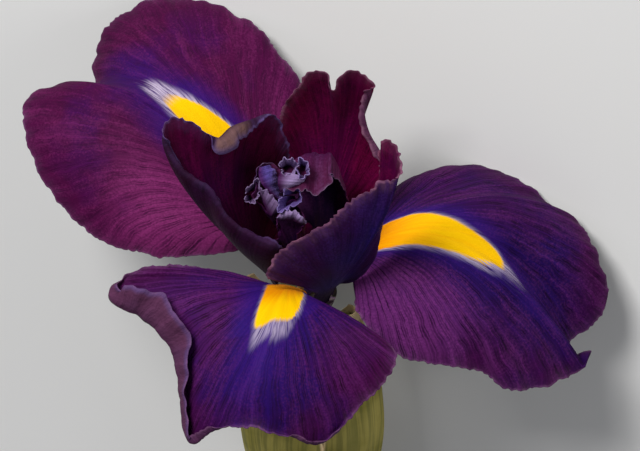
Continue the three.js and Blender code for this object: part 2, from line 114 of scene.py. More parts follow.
def through(rows: tuple[Row, ...], t: Array) -> Array:
    """Reads a smooth curve through rows.

    Args:
        rows: the points that the curve passes through.
        t: shares of the way along, 0 to 1.

    Returns:
        One point for each share.
    """
    p = np.array(rows, float)
    last = len(p) - 1
    p = np.vstack([2 * p[0] - p[1], p, 2 * p[-1] - p[-2]])
    at = np.clip(t, 0, 1) * last
    i = np.minimum(at.astype(int), last - 1)
    u = (at - i)[:, None]
    a, b, c, d = p[i], p[i + 1], p[i + 2], p[i + 3]
    square = 2 * a - 5 * b + 4 * c - d
    return 0.5 * (2 * b + (c - a) * u + square * u**2 + (3 * b - a - 3 * c + d) * u**3)


def keyed(rows: tuple[Row, ...], v: Array, passes: int = 12) -> list[Array]:
    """Reads straight steps between keyed rows, then rounds them off.

    Args:
        rows: a share and up to three values, in order.
        v: shares to read at.
        passes: how many times neighbours are averaged.

    Returns:
        One array for each value of a row.
    """
    table = np.array([(*row, 0.0)[:4] for row in rows], float)
    found = []
    for column in table.T[1:]:
        a = np.interp(v, table[:, 0], column)
        for _ in range(passes):
            a[1:-1] = (a[:-2] + 2 * a[1:-1] + a[2:]) / 4
        found.append(a)
    return found


def ease(x: Array, low: float, high: float) -> Array:
    """Returns a smooth step from 0 at low to 1 at high."""
    t = np.clip((x - low) / (high - low), 0, 1)
    return t * t * (3 - 2 * t)


def ripple(s: Array, pitch: float, seed: int) -> Array:
    """Makes an irregular wave, from seeded heights at uneven steps joined by smooth slopes.

    Args:
        s: lengths along an edge, in mm.
        pitch: the usual length of half a wave, in mm.
        seed: which wave.

    Returns:
        Heights from -1 to 1.
    """
    count = int(np.max(s) / pitch * 1.6) + 8
    rng = np.random.default_rng(seed)
    knots = np.cumsum(rng.uniform(0.5, 1.5, count)) * pitch - 2 * pitch
    heights = rng.uniform(0.15, 1, count) * np.where(np.arange(count) % 2 == 0, 1, -1)
    i = np.clip(np.searchsorted(knots, s) - 1, 0, count - 2)
    u = ease(s, knots[i], knots[i + 1])
    return heights[i] * (1 - u) + heights[i + 1] * u


@dataclass(frozen=True)
class Ruffle:
    """How a blade's rim is cut and waved, each wave by its height and half its length, in mm.

    The fine cut and the broader scallops shape the outline, and take turns by uneven_pitch. The
    swell lifts a whole stretch of the blade, and the frill its last frill_reach. A rolled hem
    varies in width by the share roll, and in how far it turns by the share twist.
    """

    cut: float = 0.26
    cut_pitch: float = 0.7
    scallop: float = 0.28
    scallop_pitch: float = 2.6
    uneven_pitch: float = 8.0
    frill: float = 0.3
    frill_pitch: float = 1.9
    frill_reach: float = 2.2
    swell: float = 0.6
    swell_pitch: float = 6.5
    roll: float = 0.11
    roll_pitch: float = 1.7
    twist: float = 0.05
    twist_pitch: float = 3.1
    seed: int = 1


@dataclass(frozen=True)
class BladeShape:
    """Where a blade runs, in mm about the flower's axis.

    The claw runs from base, by the direction start, to neck, by the direction heading. Its two
    ends are as wide as widths, and the neck sinks by trough in its middle. A margin row is x, y, z
    and how far the vein to it rises above a straight line, by the direction rise. The midrib runs
    to the row tip. A hem row is the share of the way round the margin, the hem's width, how far
    it turns up, in degrees, and, if it does, how far it leans along the margin.
    """

    base: Row
    neck: Row
    start: Row
    heading: Row
    rise: Row
    widths: Row
    trough: float
    tip: int
    margin: tuple[Row, ...]
    hem: tuple[Row, ...] = ((0, 0.5, 0), (1, 0.5, 0))
    order: Order = Order.FALL
    ruffle: Ruffle = Ruffle()


@dataclass(frozen=True)
class Fineness:
    """How many rows a blade's claw, its fan of veins and its hem have, and how many columns."""

    haft: int = 12
    blade: int = 46
    hem: int = 6
    columns: int = 380


class Placement:
    """Lays the upright flower down into the row frame."""

    up = unit(np.array([-0.3312, -0.9228, 0.1969]))
    column_middle = np.array([0.0, 0.0, 0.3 + 8.7 / 2])

    def __init__(self) -> None:
        """Finds the turn from the way up, and the shift from the style column's box."""
        axis = np.array([0.0, 0.0, 1.0])
        self.back = -unit(axis - self.up * (axis @ self.up))
        self.right = np.cross(self.back, self.up)
        self.turn = np.array([self.right, self.back, self.up])
        low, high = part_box("style_column")
        self.shift = np.array((low + high) / 2) - self.turn @ self.column_middle * MM

    def points(self, flower: Array) -> Array:
        """Returns points of the flower, in mm, as points of the row frame, in metres."""
        return np.asarray(flower) @ self.turn.T * MM + self.shift

    def direction(self, flower: Array) -> Array:
        """Returns a direction of the flower as one of the row frame."""
        return np.asarray(flower) @ self.turn.T


def inside(points: Array) -> Array:
    """Returns points of the row frame, held within the solids' box."""
    return np.clip(points, np.array(solids[0]), np.array(solids[1])).astype(np.float32)


def placed(name: str, data: bpy.types.ID) -> bpy.types.Object:
    """Returns a new object at the origin, linked to the scene."""
    made = bpy.data.objects.new(name, data)
    bpy.context.scene.collection.objects.link(made)
    return made


@dataclass(frozen=True)
class Sheet:
    """A closed sheet in the flower's mm, with named numbers at each point for its finish."""

    points: Array
    quads: Array
    values: dict[str, Array]

    def piece(self, name: str, place: Placement) -> bpy.types.Object:
        """Makes the sheet a smooth mesh object, where the flower lies.

        Args:
            name: the piece's name.
            place: where the flower lies.

        Returns:
            The object.
        """
        mesh = bpy.data.meshes.new(name)
        mesh.vertices.add(len(self.points))
        mesh.vertices.foreach_set("co", inside(place.points(self.points)).ravel())
        mesh.loops.add(self.quads.size)
        mesh.loops.foreach_set("vertex_index", np.ascontiguousarray(self.quads, np.int32).ravel())
        mesh.polygons.add(len(self.quads))
        mesh.polygons.foreach_set("loop_start", np.arange(0, self.quads.size, 4, dtype=np.int32))
        for key, numbers in self.values.items():
            data = mesh.attributes.new(key, "FLOAT", "POINT").data
            data.foreach_set("value", np.ascontiguousarray(numbers, np.float32).ravel())
        mesh.update(calc_edges=True)
        mesh.validate()
        mesh.shade_smooth()
        return placed(name, mesh)


def joined(sheets: list[Sheet]) -> Sheet:
    """Returns several sheets as one."""
    starts = np.cumsum([0] + [len(sheet.points) for sheet in sheets])
    quads = np.concatenate([sheet.quads + start for sheet, start in zip(sheets, starts)])
    keys = sheets[0].values
    values = {key: np.concatenate([sheet.values[key] for sheet in sheets]) for key in keys}
    return Sheet(np.concatenate([sheet.points for sheet in sheets]), quads, values)


def closed(grid: Array, thickness: Array, values: dict[str, Array]) -> Sheet:
    """Closes a grid of points into a thin solid.

    Args:
        grid: rows by columns of points, whose normal faces inwards or up.
        thickness: the solid's thickness at each point.
        values: named numbers for each point.

    Returns:
        The sheet, the upper face's points before the lower face's.
    """
    m, n = grid.shape[:2]
    normal = unit(np.cross(np.gradient(grid, axis=0), np.gradient(grid, axis=1)))
    half = normal * (thickness / 2)[..., None]
    points = np.concatenate([(grid + half).reshape(-1, 3), (grid - half).reshape(-1, 3)])
    numbers = np.arange(m * n).reshape(m, n)
    a = numbers[:-1, :-1].ravel()
    top = np.stack([a, a + n, a + n + 1, a + 1], 1)
    ring = [numbers[0, :-1], numbers[:-1, -1], numbers[-1, :0:-1], numbers[:0:-1, 0]]
    ring = np.concatenate(ring)
    after = np.roll(ring, -1)
    wall = np.stack([ring, after, after + m * n, ring + m * n], 1)
    quads = np.concatenate([top, top[:, ::-1] + m * n, wall])
    return Sheet(points, quads, {key: np.tile(a.ravel(), 2) for key, a in values.items()})


def cubic(a: Array, b: Array, c: Array, d: Array, t: float) -> Array:
    """Returns the point at t on a cubic curve from a to d."""
    s = 1 - t
    return a * s**3 + b * 3 * s * s * t + c * 3 * s * t * t + d * t**3


class Rim:
    """A blade's margin, with its waves and the hem that turns up along it."""

    flat_turn = (20.0, 100.0)
    fold = 0.35

    def __init__(self, points: Array, inner: Array, v: Array, shape: BladeShape) -> None:
        """Finds the margin's directions and waves.

        Args:
            points: the margin's points, one for each vein.
            inner: a point further in on each vein.
            v: each vein's share of the way round.
            shape: the blade's shape.
        """
        self.points, self.ruffle = points, shape.ruffle
        self.edge = lengths(points)
        self.along = unit(np.gradient(points, axis=0))
        out = unit(points - inner)
        self.out = unit(out - self.along * (out * self.along).sum(1, keepdims=True))
        self.up = unit(np.cross(self.out, self.along))
        self.width, self.turn, self.lean = (a[:, None] for a in keyed(shape.hem, v))
        self.ends = np.sqrt(np.sin(np.pi * v))[:, None]
        self.flat = 1 - ease(np.abs(self.turn), *self.flat_turn)
        self.frill = self.wave(self.ruffle.frill_pitch, 0) * self.ruffle.frill * self.ends
        self.swell = self.wave(self.ruffle.swell_pitch, 7) * self.ruffle.swell * self.ends

    def wave(self, pitch: float, shift: int) -> Array:
        """Returns an irregular wave along the margin, a different one for each shift."""
        return ripple(self.edge, pitch, self.ruffle.seed + shift)[:, None]

    def lift(self, left: Array, t: float) -> Array:
        """Returns how the waves lift the blade, at a share t of each vein, with that length left."""
        near = np.exp(-((left / self.ruffle.frill_reach) ** 2))
        return self.up * (self.frill * near + self.swell * t**4) * self.flat

    def hem(self, last: Array, count: int) -> list[Array]:
        """Turns the hem up in rows, with an outline of teeth and scallops.

        Args:
            last: the row of points that the hem starts from.
            count: how many rows it has.

        Returns:
            The rows.
        """
        ruffle, rolled = self.ruffle, 1 - self.flat
        uneven = 0.9 + 0.7 * self.wave(ruffle.uneven_pitch, 15)
        teeth = ruffle.cut * self.wave(ruffle.cut_pitch, 3) * uneven
        teeth = teeth + ruffle.scallop * self.wave(ruffle.scallop_pitch, 5) * (1.6 - uneven)
        width = self.width * (1 + ruffle.roll * self.wave(ruffle.roll_pitch, 11) * rolled)
        turn = self.turn * (1 + ruffle.twist * self.wave(ruffle.twist_pitch, 13) * rolled)
        width = np.maximum(width + teeth * self.ends**0.5, 0.1)
        rows = []
        for i in range(count):
            angle = np.radians(turn * min(1, (i + 0.5) / count / self.fold))
            last = last + (self.out * np.cos(angle) + self.up * np.sin(angle)) * width / count
            last = last + self.along * self.lean / count
            crimp = self.frill * rolled * ((i + 1) / count) ** 2
            rows.append(last + (self.up * np.cos(angle) - self.out * np.sin(angle)) * crimp)
        return rows


@dataclass(frozen=True)
class Blade:
    """A petal or style arm: a claw, then veins that fan out to a ruffled margin.

    The thickness is in mm, and over the last rim_thin of the blade it goes down. Veins leave the
    claw for the average of the margin over vein_spread, so that neighbours run side by side. Pulls
    place the handles of their curves, as shares of their length and their rise. Rows crowd towards
    the rim by the power crowding. Hems turn pale between the two widths in pale_hem.
    """

    shape: BladeShape
    fineness: Fineness
    thickness: float
    vein_spread: float = 0.16
    claw_pull: float = 0.35
    first_pull: tuple[float, float, float] = (0.12, 0.22, 0.35)
    second_pull: tuple[float, float] = (0.62, 1.6)
    crowding: float = 1.25
    rim_thin: float = 2.5
    pale_hem: tuple[float, float] = (2.0, 3.2)

    def margin(self, v: Array) -> Array:
        """Returns the margin rows at shares v, with the middle share at the tip."""
        half = (len(self.shape.margin) - 1) / 2
        w = np.clip(2 * v - 1, -1, 1)
        row = self.shape.tip + w * half + w * w * (half - self.shape.tip)
        return through(self.shape.margin, row / (2 * half))

    def middle(self) -> Array:
        """Draws the middle surface, in rows from the claw's foot to the hem's edge."""
        shape, fine = self.shape, self.fineness
        v = np.linspace(0, 1, fine.columns + 1)
        directions = (shape.heading, shape.rise, shape.start)
        heading, rise, start = (unit(np.array(a, float)) for a in directions)
        side = unit(np.cross(heading, rise)) * shape.order.side()
        w = (2 * v - 1)[:, None]
        foot = np.array(shape.base) + side * w * shape.widths[0] / 2
        neck = np.array(shape.neck) + side * w * shape.widths[1] / 2
        neck = neck - rise * (1 - w * w) * shape.trough
        pull = self.claw_pull * np.linalg.norm(neck - foot, axis=1, keepdims=True)
        claw = (foot, foot + start * pull, neck - heading * pull, neck)
        grid = [cubic(*claw, i / fine.haft) for i in range(fine.haft)]
        spread = 2 * v * (1 - v) * self.vein_spread
        calm = sum(self.margin(v + k * spread) for k in (-1, 0, 1)) / 3
        chord, lift = calm[:, :3] - neck, rise * calm[:, 3:4]
        length = np.linalg.norm(chord, axis=1, keepdims=True)
        ahead = np.clip(unit(chord) @ heading, 0, 1)[:, None]
        near, far, rising = self.first_pull
        first = neck + heading * length * (near + far * ahead) + lift * rising
        second = neck + chord * self.second_pull[0] + lift * self.second_pull[1]
        rim = Rim(self.margin(v)[:, :3], second, v, shape)
        for i in range(fine.blade + 1):
            t = 1 - (1 - i / fine.blade) ** self.crowding
            point = cubic(neck, first, second, rim.points, t)
            grid.append(point + rim.lift((1 - t) * length, t))
        return np.array(grid + rim.hem(grid[-1], fine.hem))

    def sheet(self) -> Sheet:
        """Returns the blade as a closed sheet."""
        grid = self.middle()
        m, n = grid.shape[:2]
        reach = lengths(grid)
        reach = reach - reach[self.fineness.haft]
        rim = reach[-1] - reach
        across = lengths(grid, 1)
        v = np.broadcast_to(np.linspace(0, 1, n), (m, n))
        rows = np.arange(m)[:, None] - (m - 1 - self.fineness.hem)
        pale = np.clip(rows / 2, 0, 1) * ease(keyed(self.shape.hem, v[0])[0], *self.pale_hem)
        mid = across - across[:, n // 2, None]
        thickness = self.thickness * (0.35 + 0.65 * ease(rim, 0, self.rim_thin))
        values = {"across": v, "reach": reach, "rim": rim, "mid": mid, "pale": pale}
        sheet = closed(grid, thickness, values)
        face = np.repeat([1.0, -1.0], m * n)
        return replace(sheet, values=sheet.values | {"face": face})


@dataclass(frozen=True)
class Crest:
    """A crumpled lobe of a style arm, drawn between two edges in mm about the flower's axis.

    The low edge is hidden, or sunk in a fold. The high edge is free, with a frill of that height
    and pitch. The belly is how far the lobe bulges towards the view between the two. Pale and
    blue are shares of the finish's pale and blue colours. The reach in mm that the low edge has for
    the finish sets how much painted shade darkens it near the neck, as shade in the fold.
    """

    low: tuple[Row, ...]
    high: tuple[Row, ...]
    belly: float = 1.0
    pale: float = 0.8
    blue: float = 0.3
    painted_shade: float = 4.0
    frill: float = 0.3
    pitch: float = 0.9
    seed: int = 1
    towards: Row = (0.0, -0.71, 0.71)
    levels: int = 26
    columns: int = 150
    free_reach: float = 15.0
    blue_reach: float = 20.0

    def wave(self, edge: Array, pitches: float, shift: int) -> Array:
        """Returns an irregular wave along the free edge, in pitches of the frill."""
        return ripple(edge, self.pitch * pitches, self.seed + shift)[:, None]

    def sheet(self) -> Sheet:
        """Returns the lobe as a closed sheet."""
        v = np.linspace(0, 1, self.columns + 1)
        t = np.linspace(0, 1, self.levels + 1)[:, None]
        low, high = through(self.low, v), through(self.high, v)
        edge = lengths(high)
        height = np.linalg.norm(high - low, axis=1, keepdims=True)
        up = unit(np.cross(high - low, np.gradient(high, axis=0)))
        wave = self.wave(edge, 1, 0) + 0.5 * self.wave(edge, 0.45, 3)
        teeth = self.wave(edge, 0.7, 5)
        grid = []
        for share in t[:, 0]:
            point = low + (high - low) * (share + teeth * self.frill / height * share**3)
            point = point + np.array(self.towards) * self.belly * 4 * share * (1 - share)
            fold = self.wave(edge + share * 1.7, 1.9, 8) * share * (1 - share)
            grid.append(point + up * self.frill * (wave * share**2.5 + 1.6 * fold))
        rim = (1 - t) * height.T
        values = {
            "across": v,
            # the low edge's reach sets how much painted shade the finish lays near the neck
            "reach": self.painted_shade + (self.free_reach - self.painted_shade) * t,
            "rim": rim,
            "mid": self.blue_reach * (1 - self.blue),
            "pale": self.pale * ease(t, 0.0, 0.7),
            "face": -1.0,
        }
        values = {key: numbers + 0 * rim for key, numbers in values.items()}
        return closed(np.array(grid), 0.12 + 0.18 * ease(rim, 0, 1.5), values)


def linear(hex_colour: str) -> tuple[float, float, float, float]:
    """Returns an sRGB hex colour as linear red, green, blue and alpha."""
    parts = [int(hex_colour[i : i + 2], 16) / 255 for i in (1, 3, 5)]
    return (*(c / 12.92 if c <= 0.04045 else ((c + 0.055) / 1.055) ** 2.4 for c in parts), 1.0)


class NodeTree:
    """A node tree, with short calls for the nodes that this flower's trees share."""

    family = ""

    def __init__(self, tree: bpy.types.NodeTree) -> None:
        """Keeps the tree."""
        self.tree = tree

    def node(self, kind: str, feeds: dict[int | str, Feed], **settings: str) -> bpy.types.Node:
        """Adds a node.

        Args:
            kind: the node's type.
            feeds: input names or numbers, each with a socket to link or a value to set.
            **settings: the node's own properties.

        Returns:
            The node.
        """
        node = self.tree.nodes.new(kind)
        for key, value in settings.items():
            setattr(node, key, value)
        for key, value in feeds.items():
            if isinstance(value, Socket):
                self.tree.links.new(value, node.inputs[key])
            else:
                node.inputs[key].default_value = value
        return node

    def add(self, kind: str, feeds: dict[int | str, Feed], **settings: str) -> bpy.types.Node:
        """Adds a node whose type is named without the tree's own family."""
        return self.node(self.family + kind, feeds, **settings)

    def maths(self, operation: str, a: Feed, b: Feed = 0.0) -> Socket:
        """Returns a maths node's result."""
        return self.node("ShaderNodeMath", {0: a, 1: b}, operation=operation).outputs[0]

    def times(self, a: Feed, b: Feed) -> Socket:
        """Returns a times b."""
        return self.maths("MULTIPLY", a, b)

    def plus(self, a: Feed, b: Feed) -> Socket:
        """Returns a plus b."""
        return self.maths("ADD", a, b)


class Graph(NodeTree):
    """A material's node tree."""

    family = "ShaderNode"

    def __init__(self, name: str) -> None:
        """Starts an empty material."""
        self.material = bpy.data.materials.new(name)
        self.material.use_nodes = True
        super().__init__(self.material.node_tree)
        self.tree.nodes.clear()

    def read(self, name: str) -> Socket:
        """Returns a mesh attribute as a number."""
        return self.add("Attribute", {}, attribute_name=name).outputs["Fac"]

    def minus(self, a: Feed, b: Feed) -> Socket:
        """Returns a minus b."""
        return self.maths("SUBTRACT", a, b)

    def size(self, a: Feed) -> Socket:
        """Returns a without its sign."""
        return self.maths("ABSOLUTE", a)

    def least(self, a: Feed, b: Feed) -> Socket:
        """Returns the smaller of two numbers."""
        return self.maths("MINIMUM", a, b)

    def most(self, a: Feed, b: Feed) -> Socket:
        """Returns the larger of two numbers."""
        return self.maths("MAXIMUM", a, b)

    def share(self, a: Feed) -> Socket:
        """Returns a number held between 0 and 1."""
        return self.most(self.least(a, 1.0), 0.0)

    def step(self, x: Feed, low: float, high: float) -> Socket:
        """Returns a smooth step of x from 0 at low to 1 at high."""
        feeds = {"Value": x, "From Min": low, "From Max": high}
        return self.add("MapRange", feeds, interpolation_type="SMOOTHSTEP").outputs["Result"]

    def blend(self, factor: Feed, a: Feed, b: Feed) -> Socket:
        """Returns a colour between a and b."""
        return self.add("Mix", {0: factor, 6: a, 7: b}, data_type="RGBA").outputs[2]

    def tint(self, factor: Feed, colour: Feed, hex_colour: str) -> Socket:
        """Returns a colour part of the way to an sRGB hex colour."""
        return self.blend(factor, colour, linear(hex_colour))

    def vector(self, x: Feed, y: Feed, z: Feed = 0.0) -> Socket:
        """Returns three numbers as a vector."""
        return self.add("CombineXYZ", {0: x, 1: y, 2: z}).outputs[0]

    def noise(self, at: Socket, scale: float, detail: float, roughness: float = 0.5) -> Socket:
        """Returns noise from 0 to 1, with about that many patches in one unit of a place."""
        feeds = {"Vector": at, "Scale": scale, "Detail": detail, "Roughness": roughness}
        return self.add("TexNoise", feeds).outputs["Fac"]

    def cloud(self, scale: float, detail: float, roughness: float = 0.5) -> Socket:
        """Returns noise over the object, with that many patches in a metre."""
        return self.noise(self.add("TexCoord", {}).outputs["Object"], scale, detail, roughness)

    def swing(self, pattern: Socket, strength: float) -> Socket:
        """Returns a pattern from 0 to 1 as one that swings about 0."""
        return self.times(self.plus(pattern, -0.5), strength)

    def bump(self, height: Socket, depth_mm: float) -> Socket:
        """Returns a normal with relief of that depth."""
        feeds = {"Height": height, "Strength": 1.0, "Distance": depth_mm * MM}
        return self.add("Bump", feeds).outputs["Normal"]

    def surface(
        self, colour: Socket, roughness: float, normal: Socket, glow: float = 0.0, sheen: float = 0.0
    ) -> bpy.types.Material:
        """Ends the tree.

        Args:
            colour: the surface's colour.
            roughness: its roughness.
            normal: its normal.
            glow: the share of light that passes through a thin blade.
            sheen: how velvety it is.

        Returns:
            The finished material.
        """
        feeds = {
            "Base Color": colour,
            "Roughness": roughness,
            "Normal": normal,
            "Specular IOR Level": 0.05,
            "Sheen Weight": sheen,
            "Sheen Tint": (0.6, 0.12, 0.5, 1),
        }
        end = self.add("BsdfPrincipled", feeds).outputs[0]
        if glow:
            passed = self.add("BsdfTranslucent", {"Color": colour}).outputs[0]
            end = self.add("MixShader", {0: glow, 1: end, 2: passed}).outputs[0]
        self.add("OutputMaterial", {"Surface": end})
        return self.material


@dataclass(frozen=True)
class Signal:
    """The yellow and white mark along a fall's middle, in mm from the neck and the midrib.

    The yellow is half_width wide at the neck, narrows by the power taper to nothing at its
    length, and fades over the last of it. The white goes on for a streak past that, narrows by
    its own power and is fringed on its soft side, which is 1 or -1. The middle line leaves the
    midrib by bend, up to bend_reach, and by streak_bend past the tip. Slant sets the tip back
    on one side. Hair is how far the edges are ragged, and a blue flush lies round it all.
    """

    length: float
    half_width: float
    taper: float
    fade: float = 1.4
    white_power: float = 1.1
    white_strength: float = 0.75
    bend: float = 0.0
    bend_reach: float = 34.0
    streak: float = 8.0
    streak_bend: float = 0.0
    slant: float = 0.0
    soft_side: float = -1.0
    fringe: float = 0.9
    hair: float = 2.6
    blue_width: float = 9.0
    blue_reach: float = 16.0
    yellow: str = "#ffc600"
    orange: str = "#f29400"
    white: str = "#d8c8de"
    blue: str = "#2f1472"


@dataclass(frozen=True)
class Tissue:
    """One petal face: red and blue grounds, the light of flush and painted highlight, and veins."""

    red: str
    blue: str
    light: str
    vein: str


@dataclass(frozen=True)
class Streaks:
    """Noise that is drawn out along the veins.

    The count is for each vein, the rate is for each mm along it, and the shift is added to the
    petal's seed.
    """

    count: float
    rate: float
    shift: float
    detail: float


@dataclass(frozen=True)
class VeinOrder:
    """One forking of the veins.

    The count is for each first vein, and the half width is a share of the step between veins.
    They fade in between the two distances in start, in mm from the neck.
    """

    count: int
    width: float
    strength: float
    start: tuple[float, float]


BROAD = Streaks(0.6, 0.06, 9, 3.0)
HAIRS = Streaks(2.6, 0.16, 2, 2.5)
PLEATS = Streaks(0.4, 0.035, 4, 1.0)
FORKS = (VeinOrder(2, 0.2, 0.85, (8.0, 17.0)), VeinOrder(4, 0.26, 0.7, (18.0, 34.0)))
# Patches in a metre for the clouds over a petal, from the widest at 13 mm to the grain at 0.4 mm.
PATCHES, WANDER, BREAKS, SHIVER, GRAIN = 75.0, 90.0, 420.0, 500.0, 2600.0


class PetalGraph(Graph):
    """A petal's node tree, with the places and patterns that its colours and relief share.

    Places are across the blade, from 0 to 1, reach in mm from the neck, rim in mm from the edge,
    mid in mm from the midrib, and hem, 1 on a rolled hem or a crest. Patterns are the veins'
    lines, where they are whole, broad streaks along them, the velvet's grain, the midrib's
    surroundings and the blue zone.
    """

    def __init__(self, finish: "PetalFinish") -> None:
        """Draws the veins, a little unsteady, and the patterns between them."""
        super().__init__(finish.name)
        self.finish = finish
        keys = ("reach", "rim", "mid", "pale")
        self.reach, self.rim, self.mid, self.hem = (self.read(key) for key in keys)
        wander = self.swing(self.cloud(WANDER, 3.0), 0.03)
        wander = self.plus(wander, self.swing(self.cloud(SHIVER, 2.0), 0.006))
        self.across = self.plus(self.read("across"), wander)
        dashes = self.step(self.streaks(Streaks(1.7, finish.dash, 0, 2.0), self.reach), 0.38, 0.62)
        self.whole = self.times(self.step(self.cloud(BREAKS, 2.0), 0.3, 0.65), dashes)
        lines = self.veins(1, finish.vein_width)
        for fork in FORKS:
            young = self.times(self.veins(fork.count, fork.width), self.step(self.reach, *fork.start))
            lines = self.most(lines, self.times(young, fork.strength))
        strength = self.plus(self.times(self.whole, 0.65), finish.vein_floor)
        self.lines = self.times(lines, self.times(strength, finish.vein_strength))
        self.broad = self.streaks(BROAD, self.reach)
        self.grain = self.cloud(GRAIN, 2.0, 0.6)
        self.near = self.step(self.size(self.mid), 14.0, 2.0)
        patch = self.step(self.cloud(PATCHES, 3.0, 0.55), 0.4, 0.68)
        inland = self.times(self.step(self.rim, 1.0, 15.0), 0.35)
        zone = self.plus(self.times(self.near, 0.5), self.times(patch, 0.55))
        self.zone = self.share(self.plus(zone, self.plus(inland, finish.blue_share - 0.3)))

    def veins(self, count: int, width: float) -> Socket:
        """Returns lines along the blade, 1 on a line, that many for each first vein."""
        within = self.maths("FRACT", self.times(self.across, self.finish.veins * count))
        return self.step(self.size(self.plus(within, -0.5)), width, width * 0.2)

    def streaks(self, kind: Streaks, reach: Socket) -> Socket:
        """Returns streaks along the veins, 0 to 1."""
        x, y = self.times(self.across, self.finish.veins * kind.count), self.times(reach, kind.rate)
        return self.noise(self.vector(x, y, self.finish.seed + kind.shift), 1.0, kind.detail)


